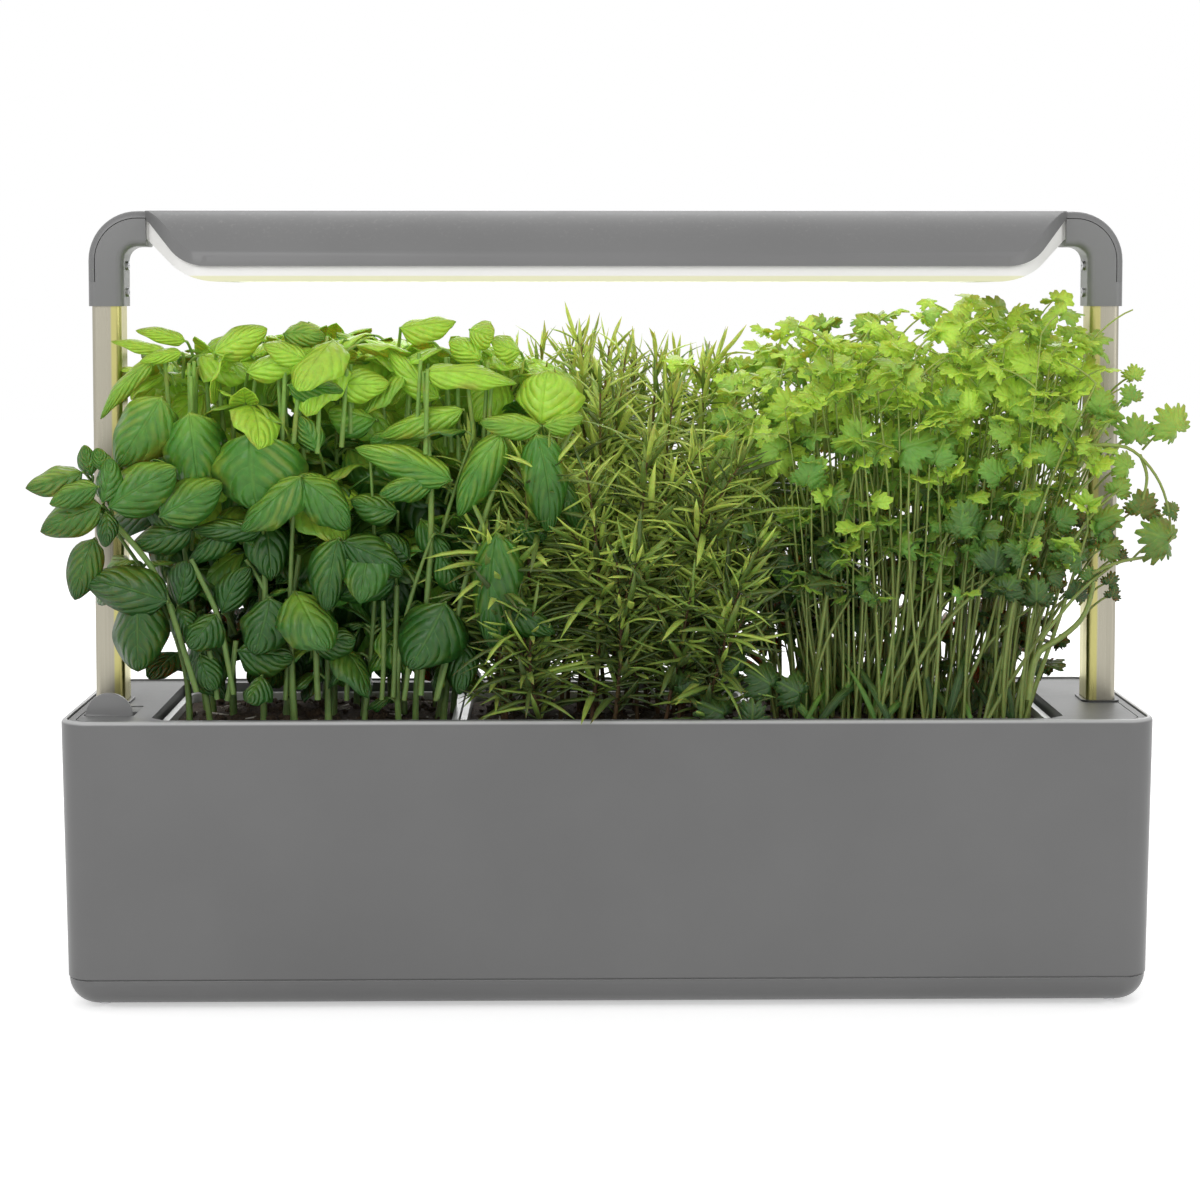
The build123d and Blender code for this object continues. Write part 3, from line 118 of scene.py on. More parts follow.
def facingUp(tree):
    return axisOf(tree, tree.nodes.new("ShaderNodeNewGeometry").outputs["Normal"], "Z")


# 1 on what the eye, a mirror or a clear sheet sees, 0 on what only lights the object
def seenDirectly(tree):
    path = tree.nodes.new("ShaderNodeLightPath")
    rays = [path.outputs[label] for label in ("Is Camera Ray", "Is Glossy Ray", "Is Transmission Ray")]
    return addMath(tree, "ADD", *rays, clamp=True)


def putOut(tree, end, **results):
    for label, socket in results.items():
        tree.links.new(socket, end.inputs[label])
    return tree


def objectPoint(tree, stretch=(1, 1, 1)):
    coord = tree.nodes.new("ShaderNodeTexCoord")
    mapping = tree.nodes.new("ShaderNodeMapping")
    mapping.inputs["Scale"].default_value = stretch
    tree.links.new(coord.outputs["Object"], mapping.inputs["Vector"])
    return mapping.outputs["Vector"]


# fine pebbling and slow tone drift of a moulded part
def buildMouldedGroup():
    tree, start, end = newGroup("mouldedSkin", [("Fine", 1400.0), ("Broad", 9.0)], ["Height", "Drift"])
    point = objectPoint(tree)
    return putOut(tree, end, Height=addNoise(tree, point, start.outputs["Fine"], 2.0, 0.5),
                  Drift=addNoise(tree, point, start.outputs["Broad"], 4.0, 0.5))


# faint dust and finger smears, more on faces that look up
def buildDustGroup():
    tree, start, end = newGroup("dustAndSmears", [("Amount", 0.3)], ["Dust", "Smear"])
    point, amount = objectPoint(tree), start.outputs["Amount"]
    upward = addRange(tree, facingUp(tree), 0.5, 1.0, smooth=True)
    specks = addRange(tree, addNoise(tree, point, 420.0, 4.0, 0.7), 0.56, 0.72)
    clouds = addNoise(tree, point, 26.0, 3.0)
    smear = addRange(tree, addNoise(tree, point, 31.0, 5.0, 0.6, 1.2), 0.45, 0.75, smooth=True)
    return putOut(tree, end, Dust=addMath(tree, "MULTIPLY", specks, clouds, upward, amount, clamp=True),
                  Smear=addMath(tree, "MULTIPLY", smear, amount))


# fine drawn lines along the height of a metal profile
def buildDrawnGroup():
    tree, start, end = newGroup("drawnLines", [("Contrast", 1.0)], ["Height", "Streak"])
    fine = addNoise(tree, objectPoint(tree, (2600, 2600, 14)), 1.0, 3.0, 0.6)
    broad = addNoise(tree, objectPoint(tree, (260, 260, 3)), 1.0, 2.0)
    streak = addMath(tree, "MULTIPLY", addMath(tree, "ADD", fine, broad), start.outputs["Contrast"])
    return putOut(tree, end, Height=fine, Streak=streak)


# midrib, side veins and the blisters between them, on a leaf's own UV map: U across, V along
def buildVeinGroup():
    tree, start, end = newGroup(
        "leafVeins", [("Pairs", 7.0), ("Sweep", 0.32), ("Width", 0.06)], ["Vein", "Swell", "Centre", "Rim"])
    uv = tree.nodes.new("ShaderNodeUVMap")
    uv.uv_map = "leafMap"
    place = uv.outputs["UV"]
    wander = addMath(tree, "MULTIPLY", addMath(tree, "SUBTRACT", addNoise(tree, place, 5.0), 0.5), 0.10)
    across = addMath(tree, "ABSOLUTE", addMath(tree, "SUBTRACT", axisOf(tree, place, "X"), 0.5))
    across = addMath(tree, "MULTIPLY", across, 2.0)
    lean = addMath(tree, "MULTIPLY", addMath(tree, "POWER", across, 1.4), start.outputs["Sweep"])
    along = addMath(tree, "ADD", addMath(tree, "SUBTRACT", axisOf(tree, place, "Y"), lean), wander)
    phase = addMath(tree, "FRACT", addMath(tree, "MULTIPLY", along, start.outputs["Pairs"]))
    nearness = addMath(tree, "ABSOLUTE", addMath(tree, "SUBTRACT", phase, 0.5))
    nearness = addMath(tree, "SUBTRACT", 0.5, nearness)
    sideVein = addRange(tree, nearness, 0.0, start.outputs["Width"], 1.0, 0.0, True)
    sideVein = addMath(tree, "MULTIPLY", sideVein, addRange(tree, across, 0.75, 1.0, 1.0, 0.2))
    centre = addRange(tree, across, 0.015, 0.075, 1.0, 0.0, True)
    blister = addMath(tree, "SINE", addMath(tree, "MULTIPLY", phase, math.pi))
    dome = addMath(tree, "MAXIMUM", addMath(tree, "SINE", addMath(tree, "MULTIPLY", across, math.pi)), 0.0)
    return putOut(tree, end, Vein=addMath(tree, "MAXIMUM", sideVein, centre),
                  Swell=addMath(tree, "MULTIPLY", blister, addMath(tree, "POWER", dome, 0.6)),
                  Centre=centre, Rim=addRange(tree, across, 0.45, 1.0, smooth=True))


groups = {"moulded": buildMouldedGroup(), "dust": buildDustGroup(), "drawn": buildDrawnGroup(),
          "veins": buildVeinGroup()}


def placeGroup(tree, key, **values):
    node = tree.nodes.new("ShaderNodeGroup")
    node.node_tree = groups[key]
    for label, number in values.items():
        node.inputs[label].default_value = number
    return node.outputs


def newMaterial(name, roughness=0.5, metallic=0.0, **plain):
    material = bpy.data.materials.new(name)
    material.use_nodes = True
    tree = material.node_tree
    tree.nodes.clear()
    output = tree.nodes.new("ShaderNodeOutputMaterial")
    shader = tree.nodes.new("ShaderNodeBsdfPrincipled")
    shader.inputs["Roughness"].default_value = roughness
    shader.inputs["Metallic"].default_value = metallic
    for label, value in plain.items():
        shader.inputs[label.replace("_", " ")].default_value = value
    tree.links.new(shader.outputs["BSDF"], output.inputs["Surface"])
    return material, tree, shader


def addBump(tree, shader, height, strength, distance):
    bump = tree.nodes.new("ShaderNodeBump")
    bump.inputs["Strength"].default_value = strength
    bump.inputs["Distance"].default_value = distance
    tree.links.new(height, bump.inputs["Height"])
    tree.links.new(bump.outputs["Normal"], shader.inputs["Normal"])


def grey(value):
    return (value, value, value)


# helpers for objects

def addObject(name, data):
    piece = bpy.data.objects.new(name, data)
    bpy.context.scene.collection.objects.link(piece)
    return piece


def toMesh(name, bm):
    mesh = bpy.data.meshes.new(name)
    bm.to_mesh(mesh)
    bm.free()
    return mesh


def smoothPiece(name, mesh, materialList):
    for material in materialList:
        mesh.materials.append(material)
    mesh.polygons.foreach_set("use_smooth", [True] * len(mesh.polygons))
    return addObject(name, mesh)


# hard materials

# moulded plastic in any colour and gloss
def plasticMaterial(name, colour, roughness, grain, dust, drift=0.05, gloss=0.5):
    material, tree, shader = newMaterial(name, roughness, Specular_IOR_Level=gloss)
    skin = placeGroup(tree, "moulded")
    soil = placeGroup(tree, "dust", Amount=dust)
    low = tuple(c * (1 - drift) for c in colour)
    high = tuple(min(1.0, c * (1 + drift)) for c in colour)
    base = addMix(tree, addRange(tree, skin["Drift"], 0.35, 0.65), low, high)
    base = addMix(tree, soil["Dust"], base, (0.62, 0.60, 0.56))
    tree.links.new(base, shader.inputs["Base Color"])
    rough = addMath(tree, "ADD", addMath(tree, "MULTIPLY", soil["Smear"], 0.16), roughness - 0.02)
    rough = addMath(tree, "ADD", rough, addMath(tree, "MULTIPLY", soil["Dust"], 0.4), clamp=True)
    tree.links.new(rough, shader.inputs["Roughness"])
    addBump(tree, shader, skin["Height"], grain, 0.0002)
    return material


def drawnMetal(name, colour, roughness, contrast):
    material, tree, shader = newMaterial(name, roughness, 1.0)
    lines = placeGroup(tree, "drawn", Contrast=contrast)
    streak = addRange(tree, lines["Streak"], 0.7, 1.3)
    tree.links.new(addMix(tree, streak, tuple(c * 0.86 for c in colour), colour), shader.inputs["Base Color"])
    tree.links.new(addRange(tree, streak, 0.0, 1.0, roughness + 0.07, roughness - 0.05),
                   shader.inputs["Roughness"])
    addBump(tree, shader, lines["Height"], 0.10, 0.0001)
    return material


plasticFacts = {
    # name, colour, roughness, grain, dust, then drift and gloss where they differ
    "shell": ("shellGrey", grey(0.137), 0.36, 0.10, 0.3),
    "lamp": ("lampGrey", grey(0.190), 0.36, 0.10, 0.3),
    # the hood is the lamp's grey plastic in a darker copy, painted shade on its sloped front
    "hood": ("hoodShadedGrey", grey(0.166), 0.42, 0.10, 0.3),
    "deck": ("deckGloss", grey(0.190), 0.44, 0.03, 0.25, 0.05, 0.16),
    "flap": ("flapGrey", grey(0.19), 0.32, 0.08, 0.2),
    "black": ("mouldedBlack", grey(0.022), 0.42, 0.16, 0.5),
    "pot": ("potWhite", (0.80, 0.81, 0.80), 0.28, 0.05, 0.1, 0.02),
    "pan": ("lampLiningWhite", (0.86, 0.85, 0.83), 0.40, 0.06, 0.0, 0.01),
    "board": ("boardGreen", (0.02, 0.14, 0.06), 0.30, 0.05, 0.1),
    "boardWhite": ("boardWhite", (0.78, 0.79, 0.78), 0.32, 0.05, 0.1),
    "lead": ("leadBlack", grey(0.02), 0.48, 0.10, 0.1),
}
metalFacts = {
    # name, colour, roughness, contrast of the drawn lines
    "post": ("postAluminium", (0.41, 0.385, 0.31), 0.30, 1.0),
    "steel": ("screwSteel", (0.55, 0.55, 0.56), 0.30, 0.8),
}
materials = {key: plasticMaterial(*facts) for key, facts in plasticFacts.items()}
materials.update({key: drawnMetal(*facts) for key, facts in metalFacts.items()})


# lays a second colour over a finished material where the mask says so
def overlay(key, colour, mask):
    tree = materials[key].node_tree
    shader = next(node for node in tree.nodes if node.type == "BSDF_PRINCIPLED")
    base = shader.inputs["Base Color"].links[0].from_socket
    tree.links.new(addMix(tree, mask(tree), base, colour), shader.inputs["Base Color"])


tintFacts = {
    # painted light: the trough's rim is paler where it looks up, towards the lamp above
    "rim": {"low": 0.05, "high": 0.75, "colour": grey(0.46)},
    # the lamp's lining is yellowish along its lower edge, over a band of this height in metres
    "lip": {"band": 0.0026, "fade": 0.0010, "amount": 0.8, "colour": (0.76, 0.75, 0.44)},
    # painted reflection: the posts are yellow-green on their inner sides, where they reflect the lit plants,
    # up to this distance from the middle in metres
    "paintedPlantReflection": {"low": 0.2698, "high": 0.2710, "amount": 0.8, "colour": (0.52, 0.48, 0.15)},
}


# painted light on the shell's faces that look up
def paintedRimLightMask(tree):
    return addRange(tree, facingUp(tree), tintFacts["rim"]["low"], tintFacts["rim"]["high"], 0.0, 1.0, True)


def lipMask(tree):
    facts = tintFacts["lip"]
    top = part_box("light_pan")[0].z + facts["band"]
    height = axisOf(tree, objectPoint(tree), "Z")
    return addRange(tree, height, top, top + facts["fade"], facts["amount"], 0.0, True)


# painted reflection of the lit plants on the posts' inner sides
def paintedReflectionMask(tree):
    facts = tintFacts["paintedPlantReflection"]
    beside = addMath(tree, "ABSOLUTE", axisOf(tree, objectPoint(tree), "X"))
    return addRange(tree, beside, facts["low"], facts["high"], facts["amount"], 0.0, True)


overlay("shell", tintFacts["rim"]["colour"], paintedRimLightMask)
overlay("pan", tintFacts["lip"]["colour"], lipMask)
overlay("post", tintFacts["paintedPlantReflection"]["colour"], paintedReflectionMask)


def rubberMaterial():
    material, tree, shader = newMaterial("footRubber", 0.72)
    skin = placeGroup(tree, "moulded", Fine=2600.0, Broad=60.0)
    base = addMix(tree, skin["Drift"], (0.015, 0.015, 0.016), (0.040, 0.040, 0.042))
    tree.links.new(base, shader.inputs["Base Color"])
    addBump(tree, shader, skin["Height"], 0.35, 0.0003)
    return material


def feltMaterial():
    material, tree, shader = newMaterial("matFelt", 0.92, Sheen_Weight=0.3)
    fibre = addNoise(tree, objectPoint(tree, (900, 300, 900)), 1.0, 5.0, 0.7, 1.5)
    clump = addNoise(tree, objectPoint(tree), 60.0, 3.0)
    base = addMix(tree, addRange(tree, addMath(tree, "ADD", fibre, clump), 0.7, 1.3),
                  (0.13, 0.13, 0.135), (0.36, 0.36, 0.37))
    tree.links.new(base, shader.inputs["Base Color"])
    addBump(tree, shader, fibre, 0.6, 0.0008)
    return material


def diffuserMaterial():
    material, tree, shader = newMaterial("diffuserFrosted", 0.45, IOR=1.49, Transmission_Weight=0.55,
                                         Emission_Strength=0.5)
    prism = tree.nodes.new("ShaderNodeTexVoronoi")
    prism.inputs["Scale"].default_value = 700.0
    tree.links.new(objectPoint(tree), prism.inputs["Vector"])
    glow = addNoise(tree, objectPoint(tree), 30.0, 2.0)
    tree.links.new(addMix(tree, glow, (0.90, 0.91, 0.92), (0.97, 0.97, 0.96)), shader.inputs["Base Color"])
    tree.links.new(addMix(tree, glow, (0.92, 0.93, 0.90), (1.0, 0.99, 0.95)), shader.inputs["Emission Color"])
    addBump(tree, shader, prism.outputs["Distance"], 0.25, 0.0004)
    return material


def diodeMaterial():
    material, tree, shader = newMaterial("diodePhosphor", 0.35, Emission_Strength=0.6)
    drift = addNoise(tree, objectPoint(tree), 900.0, 2.0)
    tree.links.new(addMix(tree, drift, (0.85, 0.62, 0.10), (0.95, 0.82, 0.30)), shader.inputs["Base Color"])
    tree.links.new(addMix(tree, drift, (1.0, 0.86, 0.55), (1.0, 0.95, 0.75)), shader.inputs["Emission Color"])
    return material


materials.update(rubber=rubberMaterial(), felt=feltMaterial(), diffuser=diffuserMaterial(),
                 diode=diodeMaterial())
print("stage: hard materials")


# CAD nodes: the plain ones take a material, the seen ones get a copy with eased edges

bodyOf = {node: body for body, members in frame["record"]["behaviour"]["bodies"].items() for node in members}

plainNodes = {
    "black": ("reservoir_liner", "pot_platform", "platform_rails", "left_post_socket", "right_post_socket",
              "left_post_plug", "right_post_plug"),
    "felt": ("capillary_mat",),
    "boardWhite": ("led_board",),
    "diode": ("leds",),
    "board": ("driver_board", "switch_board"),
    "steel": ("board_screws", "base_screws", "socket_screws", "flap_pin", "elbow_screws"),
    "lead": ("supply_lead", "switch_lead"),
}
easedNodes = {
    # node: material, width of the eased edge in millimetres
    "planter_shell": ("shell", 0.5), "base_pan": ("shell", 0.5), "feet": ("rubber", 0.5),
    "top_deck": ("deck", 0.25), "fill_flap": ("flap", 0.25), "pot_left": ("pot", 0.3),
    "pot_middle": ("pot", 0.3), "pot_right": ("pot", 0.3), "left_post": ("post", 0.3),
    "right_post": ("post", 0.3), "left_elbow": ("lamp", 0.25), "right_elbow": ("lamp", 0.25),
    "hood_cover": ("hood", 0.3), "light_pan": ("pan", 0.3), "diffuser": ("diffuser", 0.3),
    "dc_inlet": ("black", 0.25), "power_button": ("lamp", 0.3),
}
# angles in degrees, the rest in metres
easeFacts = {"merge": 0.000002, "flat": 0.6, "sharp": 28, "eased": 40}
# the ends of the hood's spines come down on the elbows, so that no light shows through the seam
seamFacts = {"node": "hood_cover", "foot": 0.3862, "drop": 0.00038}


def dressCopy(node, materialKey, width):
    bm = bmesh.new()
    bm.from_mesh(frame["nodes"][node].data)
    bmesh.ops.remove_doubles(bm, verts=bm.verts, dist=easeFacts["merge"])
    bmesh.ops.dissolve_limit(bm, angle_limit=math.radians(easeFacts["flat"]), verts=bm.verts, edges=bm.edges)
    if node == seamFacts["node"]:
        for vert in bm.verts:
            if vert.co.z < seamFacts["foot"]:
                vert.co.z -= seamFacts["drop"]
    piece = smoothPiece(node + "Form", toMesh(node + "Form", bm), [materials[materialKey]])
    piece.data.set_sharp_from_angle(angle=math.radians(easeFacts["sharp"]))
    ease = piece.modifiers.new("easedEdge", "BEVEL")
    ease.width = width / 1000
    ease.segments = 2
    ease.limit_method = "ANGLE"
    ease.angle_limit = math.radians(easeFacts["eased"])
    ease.harden_normals = True
    ease.use_clamp_overlap = True
    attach(piece, bodyOf[node])
    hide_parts(node)


for key, nodes in plainNodes.items():
    for node in nodes:
        target = frame["nodes"][node]
        target.data.materials.clear()
        target.data.materials.append(materials[key])
for node, (key, width) in easedNodes.items():
    dressCopy(node, key, width)
print("stage: frame dressed")


def joinPlanter(pieces, node):
    for piece in pieces:
        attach(piece, "planter")
        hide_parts(node)


# soil in the pots

soilFacts = {
    # bumps and depth in millimetres, corner and slope in metres
    "grid": (56, 42), "bumps": 2.4, "depth": 22.0, "corner": 0.010, "slope": 0.016,
    # how high the middle stands above the edge, in metres
    "mounds": {"left": 0.0035, "middle": 0.0015, "right": 0.002},
    # clods of soil and pale bits: count, smallest and largest size in metres, material
    "lumps": ((190, 0.0011, 0.0042, 0), (46, 0.0007, 0.0016, 1)),
    "twigs": 16,
}


def soilMaterials():
    material, tree, shader = newMaterial("pottingSoil", 0.95)
    point = objectPoint(tree)
    crumbs = addNoise(tree, point, 520.0, 6.0, 0.7)
    clumps = addNoise(tree, point, 90.0, 4.0, 0.6)
    base = addMix(tree, addRange(tree, crumbs, 0.35, 0.68), (0.016, 0.010, 0.006), (0.125, 0.080, 0.042))
    base = addMix(tree, addRange(tree, clumps, 0.45, 0.75, 0.0, 0.7), base, (0.042, 0.027, 0.016))
    pale = addRange(tree, addNoise(tree, point, 1500.0, 2.0), 0.64, 0.72)
    base = addMix(tree, addMath(tree, "MULTIPLY", pale, 0.6), base, (0.30, 0.24, 0.16))
    tree.links.new(base, shader.inputs["Base Color"])
    addBump(tree, shader, addMath(tree, "ADD", crumbs, clumps), 0.9, 0.0015)
    bits, bitTree, bitShader = newMaterial("perliteBits", 0.85)
    drift = addNoise(bitTree, objectPoint(bitTree), 700.0, 3.0)
    bitTree.links.new(addMix(bitTree, drift, (0.34, 0.30, 0.23), (0.74, 0.71, 0.64)),
                      bitShader.inputs["Base Color"])
    addBump(bitTree, bitShader, drift, 0.5, 0.0004)
    return [material, bits]


soilLooks = soilMaterials()


def soilHeight(x, y):
    spot = Vector((x * 1000, y * 1000, 0.0))
    rough = noise.fractal(spot / 9.0, 0.7, 2.2, 4) * 0.7 + noise.noise(spot / 30.0) * 1.1
    return rough * soilFacts["bumps"] / 1000


def buildSoil(side, mound):
    node = "soil_" + side
    low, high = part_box(node)
    centre = (low + high) / 2
    halfWidth, halfDepth = (high.x - low.x) / 2, (high.y - low.y) / 2
    rng = random.Random("soil" + side)
    bm = bmesh.new()
    columns, rows = soilFacts["grid"]
    bmesh.ops.create_grid(bm, x_segments=columns, y_segments=rows, size=0.5)

    def topAt(x, y):
        room = min(halfWidth - abs(x - centre.x), halfDepth - abs(y - centre.y)) / soilFacts["slope"]
        dome = 1 - (abs(x - centre.x) / halfWidth) ** 2 - (abs(y - centre.y) / halfDepth) ** 2
        rise = soilHeight(x, y) + mound * max(0.0, dome)
        return high.z - 0.001 + rise * min(1.0, max(0.0, room) + 0.15)

    def paint(verts, slot):
        for vert in verts:
            for face in vert.link_faces:
                face.material_index = slot

    for vert in bm.verts:
        x, y = vert.co.x * 2 * halfWidth, vert.co.y * 2 * halfDepth
        over = abs(x) + abs(y) - (halfWidth + halfDepth - soilFacts["corner"])
        if over > 0:
            x -= math.copysign(over / 2, x)
            y -= math.copysign(over / 2, y)
        x += centre.x
        y += centre.y
        vert.co = Vector((x, y, topAt(x, y)))
    walls = bmesh.ops.extrude_edge_only(bm, edges=[edge for edge in bm.edges if edge.is_boundary])["geom"]
    for item in walls:
        if isinstance(item, bmesh.types.BMVert):
            item.co.z = high.z - soilFacts["depth"] / 1000
    bmesh.ops.holes_fill(bm, edges=[edge for edge in bm.edges if edge.is_boundary], sides=0)
    bmesh.ops.recalc_face_normals(bm, faces=bm.faces)
    for count, small, large, slot in soilFacts["lumps"]:
        for _ in range(count):
            x = centre.x + rng.uniform(-0.94, 0.94) * halfWidth
            y = centre.y + rng.uniform(-0.92, 0.92) * halfDepth
            size = small + (large - small) * rng.random() ** 2.2
            room = min(halfWidth - abs(x - centre.x), halfDepth - abs(y - centre.y))
            if room < size + 0.002:
                continue
            place = Matrix.Translation((x, y, topAt(x, y) + size * rng.uniform(-0.1, 0.5)))
            angle = rng.uniform(0, 6.28)
            turn = Matrix.Rotation(angle, 4, Vector((rng.random(), rng.random(), 1)).normalized())
            squash = Matrix.Diagonal((1, rng.uniform(0.6, 1), rng.uniform(0.5, 0.9), 1))
            made = bmesh.ops.create_icosphere(bm, subdivisions=2 if size > 0.0022 else 1, radius=size,
                                              matrix=place @ turn @ squash)["verts"]
            for vert in made:
                vert.co += noise.noise_vector(vert.co * 700) * size * 0.35
            paint(made, slot)
    for _ in range(soilFacts["twigs"]):
        x = centre.x + rng.uniform(-0.8, 0.8) * halfWidth
        y = centre.y + rng.uniform(-0.8, 0.8) * halfDepth
        lean = Matrix.Rotation(rng.uniform(1.2, 1.8), 4, "X")
        turn = Matrix.Rotation(rng.uniform(0, 6.28), 4, "Z")
        place = Matrix.Translation((x, y, topAt(x, y) + 0.001))
        made = bmesh.ops.create_cone(bm, cap_ends=True, segments=5, radius1=0.0006, radius2=0.0003,
                                     depth=rng.uniform(0.006, 0.014), matrix=place @ turn @ lean)["verts"]
        paint(made, 1)
    joinPlanter([smoothPiece("soilBed_" + side, toMesh("soilBed_" + side, bm), soilLooks)], node)
    return topAt


soilTop = {side: buildSoil(side, mound) for side, mound in soilFacts["mounds"].items()}
print("stage: soil")


# leaves and stems: shared makers

def plantMaterial(name, low, middle, top, lowZ, topZ, vein=0.0, veinColour=grey(0.0), pairs=7.0, sweep=0.32,
                  bump=0.55, gloss=0.42, glow=0.10, mottle=220.0, warm=(0.32, 0.30, 0.04), warmth=0.5,
                  spread=0.42, sun=0.5, streak=0.0):
    material, tree, shader = newMaterial(name, gloss, Subsurface_Weight=0.25, Subsurface_Scale=0.003,
                                         Specular_IOR_Level=0.32)
    point = objectPoint(tree)
    tone = tree.nodes.new("ShaderNodeAttribute")
    tone.attribute_name = "tone"
    # 0 low in the shade to 1 at the top, with each blade's own tone
    lift = addRange(tree, axisOf(tree, point, "Z"), lowZ, topZ)
    drift = addMath(tree, "MULTIPLY", addMath(tree, "SUBTRACT", addNoise(tree, point, 38.0, 3.0), 0.5), 0.5)
    own = addRange(tree, tone.outputs["Fac"], 0, 1, -spread, spread)
    lift = addMath(tree, "ADD", lift, own, drift, clamp=True)
    base = addMix(tree, addRange(tree, lift, 0.0, 0.5), low, middle)
    base = addMix(tree, addRange(tree, lift, 0.5, 1.0), base, top)
    spots = addRange(tree, addNoise(tree, point, mottle, 4.0, 0.65), 0.35, 0.7, 0.86, 1.12)
    height = spots
    patch = addRange(tree, addNoise(tree, point, 62.0, 3.0), 0.50, 0.68, 0.0, warmth, True)
    if vein:
        veins = placeGroup(tree, "veins", Pairs=pairs, Sweep=sweep)
        base = addMix(tree, addMath(tree, "MULTIPLY", veins["Vein"], vein), base, veinColour)
        patch = addMath(tree, "MULTIPLY", patch, veins["Rim"])
        # painted highlight: pale streaks along the crests of the blisters, stronger higher up
        paintedCrestHighlight = addMath(tree, "MULTIPLY", addRange(tree, veins["Swell"], 0.45, 0.95, 0.0, streak, True),
                        addRange(tree, addNoise(tree, point, 34.0, 2.0), 0.42, 0.60),
                        addRange(tree, lift, 0.0, 0.4, 0.25, 1.0))
        base = addMix(tree, paintedCrestHighlight, base, warm)
        swell = addMath(tree, "ADD", veins["Swell"], addMath(tree, "MULTIPLY", spots, 0.35))
        height = addMath(tree, "SUBTRACT", swell, addMath(tree, "MULTIPLY", veins["Centre"], 0.5))
        rough = addRange(tree, veins["Vein"], 0, 1, gloss - 0.04, gloss + 0.12)
        tree.links.new(rough, shader.inputs["Roughness"])
    patch = addMath(tree, "MULTIPLY", patch, addRange(tree, lift, 0.0, 0.6, 0.15, 1.0))
    base = addMix(tree, patch, base, warm)
    # painted light: blades that look up to the lamp are paler than those that look out
    sunned = addMath(tree, "MULTIPLY", addRange(tree, facingUp(tree), 0.30, 0.95, 0.0, sun, True),
                     addRange(tree, lift, 0.0, 0.7, 0.20, 1.0))
    base = addMix(tree, sunned, base, addMix(tree, 0.5, warm, top))
    shade = tree.nodes.new("ShaderNodeHueSaturation")
    tree.links.new(base, shade.inputs["Color"])
    tree.links.new(spots, shade.inputs["Value"])
    tree.links.new(shade.outputs["Color"], shader.inputs["Base Color"])
    # painted light: the blades glow a little, more towards the top
    if glow:
        shader.inputs["Emission Strength"].default_value = glow
        tree.links.new(addMix(tree, lift, grey(0.0), base), shader.inputs["Emission Color"])
    addBump(tree, shader, height, bump, 0.0012)
    return material


# outline of a leaf's half width along its length, 0 to 1
def ovateShare(v):
    return max(0.015, math.sin(math.pi * v ** 0.68) ** 0.62 * (1 - 0.22 * v ** 4))


def bladeTemplate(width, droop, arch, fold, wave, rng, across=6, along=9):
    bm = bmesh.new()
    bm.loops.layers.uv.new("leafMap")
    bmesh.ops.create_grid(bm, x_segments=across, y_segments=along, size=0.5, calc_uvs=True)
    twist, swing = rng.uniform(-0.35, 0.35), rng.uniform(-0.18, 0.18)
    phase = rng.uniform(0, 6.28)
    for vert in bm.verts:
        s, v = vert.co.x * 2, vert.co.y + 0.5
        half = width / 2 * ovateShare(v)
        angle = droop * v
        ripple = wave * math.sin(v * 13 + phase + s) * s * s * half
        lift = fold * half * abs(s) - arch * half * s * s + ripple - (1 - math.cos(angle)) / droop
        turned = s * half
        vert.co = Vector((turned * math.cos(twist * v) + swing * v * v,
                          math.sin(angle) / droop, lift + turned * math.sin(twist * v)))
    return toMesh("blade", bm)


# a fan of toothed lobes, flat and then cupped
def fanTemplate(lobes, notch, rng, points=30):
    bm = bmesh.new()
    layer = bm.loops.layers.uv.new("leafMap")
    rim = bmesh.ops.create_circle(bm, segments=points, radius=0.5, cap_ends=True, cap_tris=True)["verts"]
    cup, lean, phase = rng.uniform(0.15, 0.6), rng.uniform(-0.3, 0.3), rng.uniform(0, 6.28)
    for index, vert in enumerate(rim):
        reach = vert.co.length * 2
        angle = math.atan2(vert.co.x, vert.co.y)
        edge = (1 - notch) + notch * abs(math.cos(angle * lobes / 2)) ** 0.6
        edge *= 0.34 + 0.66 * max(0.0, math.cos(angle / 2)) ** 0.7
        edge *= (0.80, 1.0, 1.0)[index % 3] * rng.uniform(0.95, 1.05)
        radius = 0.5 * reach * edge
        x, y = math.sin(angle) * radius * 1.15, math.cos(angle) * radius + 0.20
        height = -cup * radius * radius * 1.5 + lean * x * 0.5 + 0.05 * math.sin(angle * 3 + phase)
        vert.co = Vector((x, y, height))
    for vert in bm.verts:
        if vert not in rim:
            vert.co = Vector((0, 0.20, 0.02))
    for face in bm.faces:
        for loop in face.loops:
            loop[layer].uv = (loop.vert.co.x + 0.5, loop.vert.co.y + 0.3)
    return toMesh("fan", bm)


# narrow hanging blades, one for each droop
def strapTemplates(width, droops, rng):
    return [bladeTemplate(width, droop, 0.3, 0.1, 0.0, rng, 2, 9) for droop in droops]


def needleTemplate(bend):
    bm = bmesh.new()
    bmesh.ops.create_cube(bm, size=1.0)
    lengthwise = [edge for edge in bm.edges if abs(edge.verts[0].co.y - edge.verts[1].co.y) > 0.5]
    bmesh.ops.subdivide_edges(bm, edges=lengthwise, cuts=3, use_grid_fill=True)
    for vert in bm.verts:
        v = vert.co.y + 0.5
        half = 0.041 * (0.35 + 1.6 * v * (1 - v) * 2) * (0.25 if v > 0.99 else 1.0)
        side = math.copysign(half, vert.co.x)
        vert.co = Vector((side, v, math.copysign(half * 0.34, vert.co.z) - abs(side) * 0.35 + bend * v * v))
    return toMesh("needle", bm)


